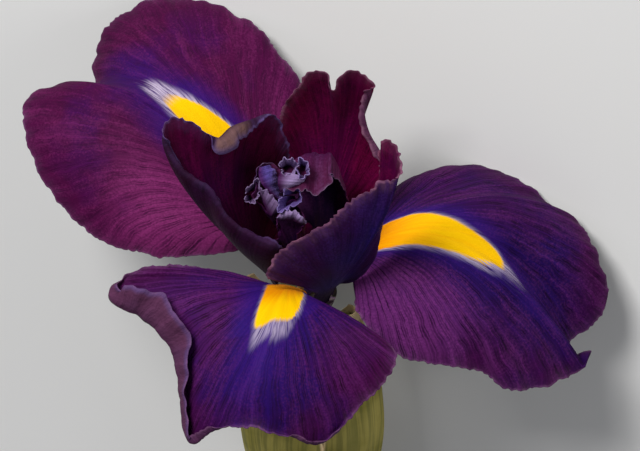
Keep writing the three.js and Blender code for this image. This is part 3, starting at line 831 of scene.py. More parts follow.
@dataclass(frozen=True)
class PetalFinish:
    """Velvety petal tissue: fine veins that fan out from the claw and fork, and a drier rim.

    The eye reads the velvet from the grain and the low gloss, the petal's thinness from the light
    that glows through it, and its age from the paler, crumpled rim. Dash is how often a vein
    breaks in a mm, and vein_floor what is left of it there. A paler flush on one side of the
    midrib is a painted highlight, the lamp's sheen laid into the colour. Rolled hems and crests
    take the two pale colours, and the second one shows by the shares in cool: in the blue zone,
    beside the midrib and at the rim. A petal without a signal darkens towards its neck, a painted
    shade for its throat among the other blades.
    """

    name: str
    inner: Tissue
    outer: Tissue
    rim: str
    rim_width: float = 0.8
    rim_strength: float = 0.7
    rim_from: float = -10.0
    veins: float = 56.0
    vein_strength: float = 0.8
    vein_width: float = 0.16
    vein_floor: float = 0.25
    dash: float = 0.4
    # painted highlight: how strong the paler flush is, and on which side of the midrib
    painted_sheen: float = 0.0
    painted_sheen_side: float = 1.0
    signal: Signal | None = None
    seed: float = 0.0
    relief: float = 0.22
    pleat: float = 2.0
    glow: float = 0.12
    roughness: float = 0.62
    sheen: float = 0.03
    blue_share: float = 0.0
    pale: tuple[str, str] = ("#9a80aa", "#6658a4")
    pale_share: float = 0.35
    cool: tuple[float, float, float] = (1.0, 0.6, 0.0)
    # painted shade: the dark colour a blade without a signal takes towards its neck, and where
    painted_shade: str = "#100214"
    painted_shade_reach: float = 4.0
    painted_shade_fade: float = 7.0
    painted_shade_strength: float = 0.85

    def flush(self, g: PetalGraph) -> Socket:
        """Returns how much lighter tissue shows between the veins, and the painted highlight."""
        flush = g.times(g.step(g.plus(g.broad, g.swing(g.grain, 0.8)), 0.4, 0.75), 0.38)
        # painted highlight: a paler flush on one side of the midrib, nearer the neck than the rim
        painted_sheen = g.step(g.times(g.mid, self.painted_sheen_side), 5.0, 16.0)
        painted_sheen = g.times(painted_sheen, g.step(g.reach, 36.0, 22.0))
        return g.plus(flush, g.times(g.times(painted_sheen, g.plus(g.grain, 0.3)), self.painted_sheen))

    def ground(self, g: PetalGraph, tissue: Tissue, flush: Socket) -> Socket:
        """Returns one face's colours."""
        colour = g.tint(g.zone, linear(tissue.red), tissue.blue)
        return g.tint(g.lines, g.tint(flush, colour, tissue.light), tissue.vein)

    def paler(self, g: PetalGraph, colour: Socket) -> Socket:
        """Lays the pale colours over rolled hems and crests."""
        zone, near, rim = self.cool
        cool = g.plus(g.times(g.zone, zone), g.times(g.near, near))
        cool = g.plus(cool, g.times(g.step(g.rim, 1.5, 0.2), rim))
        pale = g.tint(cool, linear(self.pale[0]), self.pale[1])
        pale = g.tint(g.times(g.lines, 0.4), pale, self.outer.vein)
        return g.blend(g.times(g.hem, g.plus(g.times(g.broad, 0.9), self.pale_share)), colour, pale)

    def edge(self, g: PetalGraph) -> Socket:
        """Returns where the rim is dry: a worn line, and streaks that run in from it."""
        fringe = g.times(g.step(g.rim, self.rim_width * 5, 0.0), g.times(g.broad, 0.5))
        edge = g.least(g.plus(g.step(g.rim, self.rim_width, 0.05), fringe), 1.0)
        far = g.step(g.reach, self.rim_from, self.rim_from + 4)
        edge = g.times(edge, g.most(far, g.step(g.hem, 0.0, 0.2)))
        return g.times(edge, g.times(g.plus(g.times(g.whole, 0.6), 0.4), self.rim_strength))

    def height(self, g: PetalGraph, calm: Feed) -> Socket:
        """Returns the relief, of sunk veins that calm evens out, pleats and a crumpled rim."""
        height = g.times(g.plus(g.times(g.lines, -0.3), g.times(g.broad, 0.6)), calm)
        pleats = g.times(g.step(g.rim, 20.0, 3.0), self.pleat)
        height = g.plus(height, g.times(g.streaks(PLEATS, g.reach), pleats))
        crumple = g.times(g.cloud(BREAKS, 4.0, 0.6), g.plus(g.step(g.rim, 14.0, 1.0), g.hem))
        return g.plus(height, g.plus(crumple, g.times(g.grain, 0.12)))

    def material(self) -> bpy.types.Material:
        """Builds the finish."""
        g, calm = PetalGraph(self), 1.0
        flush = self.flush(g)
        inner, outer = (self.ground(g, face, flush) for face in (self.inner, self.outer))
        if self.signal:
            inner, yellow = self.mark(g, inner)
            calm = g.minus(1.0, g.times(yellow, 0.7))
        colour = self.paler(g, g.blend(g.step(g.read("face"), -0.2, 0.2), outer, inner))
        # painted shade: a blade without a signal darkens towards its neck, in among the other blades
        if not self.signal:
            neck_shade = g.step(g.reach, self.painted_shade_reach, self.painted_shade_reach - self.painted_shade_fade)
            colour = g.tint(g.times(neck_shade, self.painted_shade_strength), colour, self.painted_shade)
        colour = g.tint(self.edge(g), colour, self.rim)
        normal = g.bump(self.height(g, calm), self.relief)
        return g.surface(colour, self.roughness, normal, self.glow, self.sheen)

    def narrowing(self, g: PetalGraph, reach: Socket, length: float, power: float) -> Socket:
        """Returns the signal's half width, which falls to nothing at that length."""
        left = g.most(g.minus(1.0, g.times(reach, 1 / length)), 0.0)
        return g.times(g.maths("POWER", left, power), self.signal.half_width)

    def mark(self, g: PetalGraph, ground: Socket) -> tuple[Socket, Socket]:
        """Lays the signal on a fall: a blue flush, streaky white and a yellow tongue.

        Args:
            g: the petal's tree.
            ground: the colour below.

        Returns:
            The colour with the mark on it, and where the yellow is.
        """
        s = self.signal
        whole = s.length + s.streak
        shift = g.times(g.step(g.reach, s.bend_reach, s.bend_reach * 0.35), s.bend)
        past = g.step(g.reach, s.length - 3, whole)
        leaning = g.minus(g.mid, g.plus(shift, g.times(past, s.streak_bend)))
        side = g.size(leaning)
        reach = g.plus(g.reach, g.times(leaning, s.slant))
        soft = g.step(g.times(leaning, s.soft_side), -1.5, 1.5)
        hairs = g.streaks(HAIRS, reach)
        tufts = g.plus(g.swing(hairs, s.hair), g.swing(g.broad, s.hair * 0.8))
        ragged = g.times(tufts, g.plus(g.times(soft, 0.8), 0.2))
        width = self.narrowing(g, reach, s.length, s.taper)
        beyond = g.minus(side, width)

        blue = g.step(beyond, s.blue_width, 0.5)
        blue = g.times(blue, g.step(reach, whole + s.blue_reach, whole * 0.6))
        ground = g.tint(g.times(blue, g.plus(g.times(g.broad, 1.1), 0.1)), ground, s.blue)

        white_width = g.most(width, self.narrowing(g, reach, whole, s.white_power))
        white_width = g.plus(white_width, g.times(g.plus(soft, 0.25), s.fringe))
        white = g.step(g.plus(g.minus(side, white_width), ragged), 0.9, -0.7)
        fading = g.plus(reach, g.times(tufts, 2.0))
        white = g.times(white, g.step(fading, whole, s.length + 1.0))
        thin = g.times(g.step(fading, s.length + 2.0, whole), -0.35)
        white = g.times(white, g.step(g.plus(hairs, thin), 0.3, 0.62))
        ground = g.tint(g.times(white, s.white_strength), ground, s.white)

        yellow = g.step(g.plus(beyond, g.times(ragged, 0.6)), 0.3, -0.3)
        ending = g.plus(reach, g.times(tufts, 0.5))
        yellow = g.times(yellow, g.step(ending, s.length, s.length - s.fade))
        ripe = g.plus(g.step(reach, 4.0, s.length * 0.7), g.swing(g.broad, 0.9))
        tongue = g.tint(g.share(ripe), linear(s.orange), s.yellow)
        return g.blend(yellow, ground, tongue), yellow


@dataclass(frozen=True)
class GreenFinish:
    """Plant flesh with lengthwise ribs that dries to tan paper towards one end.

    The eye reads the ribs from thin dark lines, rib_pitch mm apart, and the drying from where
    the mesh's dry number passes dry_from and dry_to.
    """

    name: str
    green: str
    light: str
    dark: str
    paper: str
    rib_pitch: float = 0.7
    rib_rate: float = 0.04
    rib_strength: float = 0.45
    dry_from: float = 0.0
    dry_to: float = 1.0
    roughness: float = 0.5
    relief: float = 0.15
    glow: float = 0.06

    def material(self) -> bpy.types.Material:
        """Builds the finish."""
        g = Graph(self.name)
        around, along = g.times(g.read("around"), 1 / self.rib_pitch), g.read("along")
        ribs = g.noise(g.vector(around, g.times(along, self.rib_rate)), 1.0, 2.0)
        cloud = g.cloud(120.0, 3.0)
        colour = g.tint(g.step(cloud, 0.35, 0.7), linear(self.green), self.light)
        colour = g.tint(g.times(g.step(ribs, 0.58, 0.4), self.rib_strength), colour, self.dark)
        dry = g.step(g.plus(g.read("dry"), g.swing(ribs, 0.35)), self.dry_from, self.dry_to)
        colour = g.tint(dry, colour, self.paper)
        normal = g.bump(g.plus(ribs, g.times(cloud, 0.4)), self.relief)
        return g.surface(colour, self.roughness, normal, self.glow)


@dataclass(frozen=True)
class PlainFinish:
    """One even substance, which the eye reads from a faint cloudy change of tone and relief."""

    name: str
    colour: str
    shade: str
    roughness: float = 0.7
    scale: float = 300.0
    relief: float = 0.1

    def material(self) -> bpy.types.Material:
        """Builds the finish."""
        g = Graph(self.name)
        cloud = g.cloud(self.scale, 3.0)
        colour = g.tint(g.step(cloud, 0.35, 0.65), linear(self.colour), self.shade)
        return g.surface(colour, self.roughness, g.bump(cloud, self.relief))


FALL_LEFT = BladeShape(
    base=(-3.6, 3.2, 0.6), neck=(-6.5, 6, 9), start=(-0.25, 0.22, 0.9), heading=(-0.42, 0.4, 0.82),
    rise=(-0.1, -0.1, 1), widths=(4, 7), trough=1.2, tip=11,
    margin=(
        (-4, 9, 10, 0), (-2, 16, 15, 1), (-0.5, 24, 20.5, 2.5), (-0.9, 28, 22, 3), (-2.6, 30.5, 24, 3.5),
        (-7, 36.2, 26.2, 4.5), (-12.2, 41, 27.5, 5.5), (-20, 45, 27.5, 7), (-29.3, 45.2, 26.5, 8),
        (-35.3, 42.3, 22.6, 11), (-37.6, 39, 18.2, 14), (-37.2, 34.7, 16, 16.5), (-39, 28.5, 20.5, 15),
        (-42.5, 29.5, 21.5, 12.5), (-49, 27.8, 20, 11), (-48.6, 21.6, 18, 10), (-46.4, 15, 14.3, 10),
        (-41.8, 10, 10.8, 9.5), (-36.2, 5, 8.3, 8.5), (-28.9, 2, 7.8, 7), (-21.9, 0.7, 8, 5.5),
        (-14, 1, 9, 3), (-9, 2.5, 8.5, 1),
    ),
    order=Order.FALL,
)

FALL_RIGHT = BladeShape(
    base=(4.8, 0, 0.5), neck=(8.5, 0, 8), start=(0.2, 0, 0.9), heading=(0.65, 0, 0.76), rise=(0, 0.1, 1),
    widths=(4, 7), trough=1.2, tip=11,
    margin=(
        (9, -4, 6.5, 0), (8.75, -7.5, 5, 1), (11, -9.9, 2, 3), (15.75, -12.9, -2, 6), (20, -13.8, -3, 8),
        (25.4, -14.3, -3.5, 10), (30.6, -14.8, -5, 11.5), (35.9, -15.8, -8, 13), (42, -13, -10, 14.5),
        (46.6, -9.5, -11, 15), (48.9, -8, -10.3, 15.3), (46.4, -5, -11, 16), (46.3, -2.4, -10.5, 15.5),
        (48.6, -0.9, -10, 15), (53.2, 2.5, -5, 13.5), (52.2, 5, -1, 12), (50.2, 8.3, 2.2, 10.5),
        (47.7, 13.4, 4.3, 9), (43.2, 15, 5.3, 7.5), (39.6, 18.5, 7.3, 6.5), (34.1, 21.3, 8.2, 5.5),
        (26.3, 21.8, 9.2, 4.5), (19.25, 18.2, 9.7, 3.5), (15.75, 15, 9.5, 2), (12, 9.5, 9, 1),
        (9, 4, 8, 0),
    ),
    hem=(
        (0, 0.5, 0), (0.43, 0.5, 0), (0.45, 1.2, 40, 3), (0.462, 1.2, 40, 4.5), (0.48, 0.5, 0),
        (1, 0.5, 0),
    ),
    order=Order.FALL,
)

FALL_FRONT = BladeShape(
    base=(-1.2, -4.6, 0.5), neck=(-2.6, -7.4, 7.8), start=(-0.05, -0.2, 0.9),
    heading=(-0.15, -0.78, 0.55), rise=(0, -0.35, 1), widths=(4, 5), trough=-0.8, tip=14,
    margin=(
        (-5.8, -8, 8.2, 0), (-9.2, -9.6, 11, 0.5), (-14, -9.3, 14, 1), (-20, -9.6, 15.3, 1.5),
        (-27, -10, 15.3, 2), (-31, -11, 13.5, 2.5), (-32.6, -13.2, 12, 3), (-28.4, -14.2, 10.5, 4),
        (-24, -16.7, 8, 5), (-21.2, -19.4, 4.5, 6), (-20.2, -24, 0.5, 7), (-19.8, -29.4, -4, 9),
        (-18.8, -31.2, -5, 9.5), (-15.4, -31.5, -1.5, 8.5), (-9.6, -33, 1.5, 8), (-2.6, -33.2, -1, 8.5),
        (1.75, -32.6, -3.8, 10), (5.25, -30.7, -2.8, 9), (7.6, -28.7, -0.5, 7.5), (12.3, -27, 4, 5.5),
        (14.9, -25.3, 8, 4), (14.9, -23.1, 9.5, 3), (11.6, -19.4, 9.5, 2), (7, -16.7, 9.5, 1.5),
        (3.6, -13, 8.4, 1), (1, -9.2, 7.2, 0),
    ),
    hem=(
        (0, 0.5, 0), (0.15, 0.5, 0), (0.17, 0.8, 110), (0.19, 4, 150), (0.21, 7, 165), (0.23, 8.5, 175),
        (0.26, 8.5, 175), (0.29, 7.6, 175), (0.32, 6.5, 170), (0.35, 5, 165), (0.4, 2.8, 160),
        (0.46, 1.6, 150), (0.5, 0.6, 20), (0.55, 1.6, 140), (0.64, 1.6, 140), (0.68, 0.5, 0), (1, 0.5, 0),
    ),
    order=Order.FALL,
)

STANDARD_LEFT = BladeShape(
    base=(-4.6, -1.4, 0.4), neck=(-5.6, -1.9, 6), start=(-0.15, -0.05, 1), heading=(-0.3, -0.1, 0.95),
    rise=(-0.9, -0.3, 0.1), widths=(3.3, 5.5), trough=-0.8, tip=8,
    margin=(
        (-5.4, 1.6, 7, 0), (-3.4, 6.4, 12, 1), (-3, 8.5, 23, 2.5), (-4.2, 8.5, 31, 3),
        (-6, 7.5, 35.2, 3.5), (-9.4, 4.6, 36.5, 4), (-12.4, 1.2, 38.2, 4), (-14.6, -0.8, 37.5, 4),
        (-16.4, -1.4, 39.1, 4), (-18.4, -1.4, 41.1, 4), (-21.4, -1.2, 42, 4), (-23.6, -2.2, 41.5, 4),
        (-24, -3.4, 39.8, 3.5), (-22.6, -4.6, 37, 3), (-20.1, -6, 34, 3), (-16.1, -7.25, 31.6, 3),
        (-14.2, -8.7, 28, 3), (-11.4, -9.7, 25, 3), (-7.5, -10.1, 22.5, 2.5), (-4.2, -9.9, 20, 2),
        (-3.6, -7, 13, 1), (-4.4, -4.2, 7.5, 0),
    ),
    hem=(
        (0, 0.4, 0), (0.15, 0.5, 0), (0.28, 0.4, 60), (0.31, 0.8, 120), (0.35, 2.2, 140),
        (0.39, 3.4, 150), (0.43, 4, 150), (0.46, 3.4, 150), (0.485, 1.2, 130), (0.5, 0.6, 60),
        (0.64, 0.5, 0), (0.7, 1.4, 120), (0.8, 1.9, 140), (0.88, 1.9, 140), (0.93, 0.8, 80), (1, 0.5, 0),
    ),
    order=Order.STANDARD,
)

STANDARD_BACK = BladeShape(
    base=(1.9, 4.4, 0.4), neck=(2.3, 5.3, 6), start=(0.05, 0.15, 1), heading=(0.1, 0.25, 0.95),
    rise=(0.37, 0.9, 0.1), widths=(3.3, 5.5), trough=-0.8, tip=13,
    margin=(
        (5, 4, 7, 0), (9.5, 5, 14, 1), (13, 5.7, 22, 1.5), (14, 6.5, 24.5, 2), (12.8, 7.7, 26.5, 2.5),
        (11, 8.6, 30, 3), (10.2, 9.6, 33.5, 3), (10.4, 9.8, 36, 3), (11, 9.4, 38.4, 3),
        (12, 9.5, 40.2, 3), (10, 10, 41.5, 3.5), (7.9, 10.2, 42.3, 3.5), (5.8, 9.7, 41.6, 3.5),
        (4.9, 9.5, 39.5, 4), (4, 10, 42, 3.5), (2.3, 10.5, 42.4, 3.5), (0.3, 10.5, 41, 3.5),
        (-1.6, 10.5, 38.4, 3), (-2.8, 10.5, 35, 3), (-3.95, 11.6, 30, 2.5), (-4.2, 12, 25, 2),
        (-3, 9.5, 14, 1), (-0.5, 6.3, 7, 0),
    ),
    hem=(
        (0, 0.5, 0), (0.06, 0.5, 0), (0.1, 1.5, 120), (0.24, 1, 120), (0.3, 0.5, 0), (1, 0.5, 0),
    ),
    order=Order.STANDARD,
)

STANDARD_FRONT = BladeShape(
    base=(2.8, -3.9, 0.45), neck=(3.8, -5.4, 6), start=(0.12, -0.15, 1), heading=(0.3, -0.3, 0.9),
    rise=(0.62, -0.78, 0.05), widths=(3.3, 5), trough=-0.8, tip=15,
    margin=(
        (1.9, -7.2, 6.8, 0), (0.7, -8.5, 9, 0.5), (-1.4, -9.9, 11.8, 1), (-3.5, -10.7, 14.4, 1),
        (-5.8, -11.3, 14.6, 1), (-5.8, -11.6, 17, 1.5), (-4.4, -11.3, 20, 2), (-2.3, -11.6, 22.5, 2),
        (0.9, -12.1, 25.5, 2.5), (4.4, -12.2, 29, 2.5), (7.9, -12.2, 33, 3), (11, -12.2, 36, 3),
        (12.7, -12, 37.8, 3), (14.3, -13, 38.3, 3), (15.8, -13, 39.8, 3), (15.9, -12.4, 42, 3),
        (15, -11.2, 44.8, 3), (13.5, -10.1, 46, 3), (13.3, -9.8, 43.2, 3), (12.8, -9.4, 39, 3),
        (12.9, -8.4, 33, 3), (13.4, -7, 28, 3), (13.1, -6.6, 21, 2.5), (11.4, -6.4, 14, 2),
        (8.4, -6, 9, 1), (6, -3.6, 6.6, 0),
    ),
    order=Order.STANDARD,
)

STYLE_LEFT = BladeShape(
    base=(-0.8, 0.75, 9.5), neck=(-2.6, 1.4, 14), start=(-0.25, 0.2, 1), heading=(-0.45, 0.3, 0.84),
    rise=(0.45, -0.6, 0.5), widths=(1.7, 4.5), trough=0.4, tip=6,
    margin=(
        (-1.2, 3.1, 14.6, 0), (-2.2, 3.4, 18.5, 0), (-3.8, 2.6, 22, -0.5), (-4.4, 1.4, 25.6, -0.5),
        (-4.9, 1.5, 27.7, -0.5), (-6.1, 1, 29.2, -0.5), (-7.6, 0.4, 29.4, -0.5), (-7.9, -0.7, 28.3, -0.5),
        (-8.3, -1.4, 26.9, -0.5), (-8.8, -1.9, 25, -0.3), (-8, -2.6, 23.5, 0), (-6.6, -2.6, 21.6, 0),
        (-5, -1.2, 17.5, 0), (-4.2, -0.2, 13.9, 0),
    ),
    order=Order.STYLE,
)

STYLE_RIGHT = BladeShape(
    base=(1.1, 0, 9.5), neck=(3.2, 1.2, 14.5), start=(0.3, 0.1, 1), heading=(0.3, 0.3, 0.9),
    rise=(0, 0.68, 0.73), widths=(1.7, 4.5), trough=0.4, tip=10,
    margin=(
        (1, 0.8, 15.6, 0), (-1.4, 1.6, 20, 1.5), (-3.2, 1.6, 25, 3.5), (-3.8, -0.4, 28.6, 6.5),
        (-3.3, -3.2, 29.5, 8.5), (-2.6, -4.1, 29.2, 9.5), (-1.5, -4, 29.2, 10), (-0.4, -4.3, 28.9, 10.5),
        (0.4, -4.1, 29.2, 10.5), (1.5, -4.4, 28.2, 10.5), (2.5, -4.2, 28.3, 10.5), (3.3, -3.8, 28.8, 10),
        (4, -3, 29.5, 9.4), (4.2, -2.2, 29.9, 8.6), (4.3, -1.6, 30.1, 8), (4.8, -1.4, 29.7, 7.4),
        (5.4, -1.2, 29.2, 6.8), (6.1, -0.8, 27.6, 6), (6.8, -0.2, 24.5, 4.5), (7.3, 0.8, 21, 2.5),
        (6.9, 2, 17.5, 1.5), (5, 2.4, 13.9, 0),
    ),
    order=Order.STYLE,
)

STYLE_FRONT = BladeShape(
    base=(-0.3, -1.05, 9.5), neck=(-1, -3, 13), start=(-0.05, -0.3, 1), heading=(-0.1, -0.35, 0.9),
    rise=(0.05, 0.88, 0.4), widths=(1.7, 3.4), trough=0.4, tip=7,
    margin=(
        (-3.1, -2.9, 13.2, 0), (-4.2, -3.9, 16, 0), (-4, -4.5, 19, 0), (-4.2, -5, 21.2, 0),
        (-4.4, -5.2, 22.4, 0.5), (-4, -4.4, 23.6, 0.5), (-3.2, -3.4, 24.6, 0.5), (-1.8, -2.6, 24.6, 0.5),
        (-0.9, -3, 23.8, 0.5), (-0.2, -4.6, 22.8, 0.5), (0.2, -5.6, 22, 0.5), (-0.4, -5.5, 20.4, 0),
        (-0.8, -4.6, 17.5, 0), (-0.4, -3.4, 13.4, 0),
    ),
    order=Order.STYLE,
)

# The crumpled lobes at the ends of the style arms, which the solids leave out.
CRESTS = {
    "style_arm_right": (
        Crest(
            low=(
                (-3.5, 1, 28.6), (-3, 1.3, 28.9), (-2.5, 1, 28.6), (-2.3, 0.5, 28.1), (-2.9, 0.3, 27.9),
                (-3.4, 0.6, 28.2),
            ),
            high=(
                (-4.2, -2.5, 32.6), (-3.9, -2.5, 34), (-3, -2.6, 34.6), (-2, -2.3, 34.2),
                (-1.3, -2.1, 33.1), (-1.5, -2.9, 32.2), (-2.3, -3.4, 31.7), (-3.5, -3.4, 31.7),
                (-4.1, -3.5, 32.7),
            ),
            belly=-0.5, painted_shade=0, blue=0.4, seed=3,
        ),
        Crest(
            low=(
                (-0.5, 0.9, 28.5), (-0.3, 1.1, 28.8), (-0.1, 0.6, 28.3), (0, 0, 27.7), (-0.3, -0.3, 27.4),
                (-0.5, 0.3, 27.9),
            ),
            high=(
                (-1.3, -2.5, 33.3), (-0.9, -2.6, 34.6), (-0.1, -2.6, 34.6), (0.6, -2.9, 33.6),
                (0.7, -3.4, 32.4), (0.3, -4, 31.8), (-0.4, -4.6, 31.9), (-1.1, -4.6, 32.7),
                (-1.4, -3.4, 33.2),
            ),
            belly=-0.5, painted_shade=0, blue=0.6, seed=4,
        ),
        Crest(
            low=(
                (-4, -2.1, 31), (-4.4, -2.9, 30.3), (-4.4, -3.3, 29.1), (-4, -3, 27.3),
                (-3.6, -2.3, 25.9),
            ),
            high=(
                (0.2, -2.8, 30.6), (-0.1, -3.4, 30.1), (-0.9, -3.6, 29.5), (-2, -3.2, 28.5),
                (-2.8, -2.2, 26.7),
            ),
            belly=1.2, pale=1.0, painted_shade=9, frill=0.12, seed=5, blue=0.1,
        ),
    ),
    "style_arm_left": (
        Crest(
            low=(
                (-7.7, -1, 30.9), (-7.8, -2.1, 30.4), (-7.4, -3.1, 29.5), (-6.6, -3.5, 28.3),
                (-5.5, -3.6, 26.8), (-4.4, -3.1, 25.2),
            ),
            high=(
                (-6.1, 0.7, 29.7), (-5.1, 0.5, 28.8), (-4.5, 0.4, 27.3), (-4.4, 0.2, 25.6),
                (-4.1, -0.3, 24.4), (-3.8, -1.2, 23.6),
            ),
            belly=0.5, pale=1.0, painted_shade=9, blue=0.8, frill=0.22, seed=6,
        ),
        Crest(
            low=(
                (-7.9, -1, 25.8), (-7.5, -1.7, 24.5), (-6.9, -2.5, 23.7), (-6.4, -3.2, 22.9),
                (-5.7, -4.3, 22.6), (-5.1, -4.1, 22.8),
            ),
            high=(
                (-7.5, -2.8, 28.3), (-6.9, -3.7, 28.1), (-6.1, -4, 27.8), (-5.3, -4.5, 27.3),
                (-4.5, -5.1, 26.7), (-4, -4.6, 25.8),
            ),
            belly=0.6, pale=0.45, painted_shade=5, blue=0.1, frill=0.4, seed=7,
        ),
        Crest(
            low=(
                (-9.2, 0.9, 23.5), (-8.7, 1.1, 23.7), (-8.4, 0.6, 23.2), (-8.7, 0.1, 22.7),
                (-9.2, -0.1, 22.6), (-9.5, 0.4, 23),
            ),
            high=(
                (-10.3, -2.2, 26), (-9.7, -2.3, 27.4), (-8.8, -2.1, 28.3), (-7.9, -1.8, 29.3),
                (-7.6, -2.2, 28.2), (-7.6, -2.8, 26.9), (-8, -3.3, 25.7), (-9.1, -3.6, 24.7),
                (-10, -3.3, 25), (-10.4, -3.1, 26),
            ),
            belly=-0.6, painted_shade=-3, blue=0.1, pale=0.6, seed=8,
        ),
    ),
    "style_arm_front": (
        Crest(
            low=(
                (-1.5, -0.7, 24.5), (-1, -0.5, 24.7), (-0.8, -0.9, 24.3), (-1.1, -1.4, 23.8),
                (-1.6, -1.4, 23.8), (-1.8, -1, 24.2),
            ),
            high=(
                (-3.9, -4.4, 27.9), (-3.1, -4.1, 28.9), (-2, -3.8, 29.2), (-0.7, -3.9, 28.4),
                (-0.5, -4.4, 27.2), (-0.9, -4.8, 26.1), (-2.3, -5.8, 26.2), (-3.9, -6.6, 26.1),
                (-4.8, -6.7, 26), (-4.4, -5.7, 27), (-4, -5.1, 28),
            ),
            belly=-0.5, painted_shade=1, blue=1.0, pale=0.7, seed=9,
        ),
        Crest(
            low=(
                (-4.7, -5.3, 23), (-3.9, -5.5, 22.8), (-2.8, -5.8, 23.2), (-1.8, -5.9, 23.1),
                (-0.9, -6.2, 22.8), (0, -6.1, 22.2),
            ),
            high=(
                (-4.6, -5.4, 23.6), (-3.7, -6, 25.1), (-2.4, -6.1, 25.8), (-1.1, -6.4, 25.5),
                (0, -6.7, 24.4), (0.3, -6.3, 22.7),
            ),
            belly=0.6, painted_shade=8, seed=10,
        ),
    ),
}

SPATHE_OUTER_ROWS = (
    (-75, 0, 1.4, 5.3, 5.3, 150), (-66, 0, 1.6, 6.6, 6.2, 128), (-55, 1.6, 2.2, 9.6, 7.2, 112),
    (-42, 1.2, 1.9, 11.6, 7.6, 104), (-28, 0, 1.6, 11.6, 7.2, 100), (-16, -2.2, 1.8, 9.8, 6.4, 92),
    (-8, -5.2, 3.2, 5.8, 4.6, 80), (-2.5, -8.2, 5, 2.4, 1.6, 70),
)

SPATHE_INNER_ROWS = (
    (-72, 0, 1.4, 4.25, 4.25, 62), (-62, 0.4, 1.7, 5.8, 4.8, 80), (-50, 2.4, 2.1, 9.2, 5.8, 92),
    (-38, 3.2, 1.6, 10.2, 6.1, 92), (-26, 3.4, 1.2, 9.6, 6, 88), (-16, 3.8, 0.8, 7.8, 5, 84),
    (-9.5, 5.2, 0.4, 4.8, 3.4, 78), (-5, 7, 0, 2, 1.4, 70),
)


def dress(piece: bpy.types.Object, material: bpy.types.Material, slot: str, *nodes: str) -> None:
    """Gives a piece its finish and ties it to the CAD.

    Args:
        piece: the finished mesh object.
        material: its finish.
        slot: the record's material slot, which is not used.
        *nodes: the CAD nodes that it stands for.
    """
    piece.data.materials.clear()
    piece.data.materials.append(material)
    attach(piece, "root")
    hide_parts(*nodes)
    LOG.info("%s: %d faces", piece.name, len(piece.data.polygons))


@dataclass(frozen=True)
class Whorl:
    """Three blades round the axis, each with its shape and finish."""

    blades: dict[str, tuple[BladeShape, PetalFinish]]
    slot: str
    fineness: Fineness
    thickness: float

    def build(self, place: Placement) -> None:
        """Builds and dresses each blade where the flower lies, with its crests if it has some."""
        for name, (shape, finish) in self.blades.items():
            blade = Blade(shape, self.fineness, self.thickness).sheet()
            whole = joined([blade, *(crest.sheet() for crest in CRESTS.get(name, ()))])
            dress(whole.piece(name, place), finish.material(), self.slot, name)


@dataclass(frozen=True)
class Spathe:
    """A papery valve, folded along its keel, with sizes in mm and angles in degrees.

    A row is z, x, y, the two half widths and the half angle that the valve reaches round. The
    ridge along the keel stands out by a share of the width, and the waver bends the whole wall.
    The dry tissue fades in by dry_tip from the tip and by dry_edge from the edges.
    """

    name: str
    keel: float
    rows: tuple[Row, ...]
    finish: GreenFinish
    thickness: float = 0.45
    ridge: float = 0.06
    waver: float = 0.12
    dry_tip: float = 6.5
    dry_edge: float = 0.5
    levels: int = 150
    columns: int = 120

    def build(self, place: Placement) -> None:
        """Builds the valve and dresses it."""
        t = np.linspace(0, 1, self.levels + 1)
        z, x, y, a, b, half = (c[:, None] for c in through(self.rows, t).T)
        share = np.linspace(0, 1, self.columns + 1)[None, :]
        turn = math.radians(self.keel) + np.radians(half) * (2 * share - 1)
        ridge = 1 + self.ridge * np.exp(-(((share - 0.5) * 14) ** 2))
        waver = self.waver * np.sin(share * 41 + z * 0.11) * np.sin(np.pi * t)[:, None]
        right = x + (a * ridge + waver) * np.cos(turn)
        grid = np.stack([right, y + (b + waver) * np.sin(turn), z + 0 * turn], -1)
        edge = np.minimum(share, 1 - share) * np.radians(2 * half) * (a + b) / 2
        tip = (1 - t)[:, None] * np.ptp(z)
        thickness = self.thickness * (0.4 + 0.6 * ease(np.minimum(edge, tip), 0, 2.0))
        dry = np.exp(-tip / self.dry_tip) + 0.9 * np.exp(-edge / self.dry_edge)
        values = {"around": turn * (a + b) / 2, "along": z + 0 * turn, "dry": dry}
        piece = closed(grid, thickness, values).piece(self.name, place)
        dress(piece, self.finish.material(), "spathe", self.name)


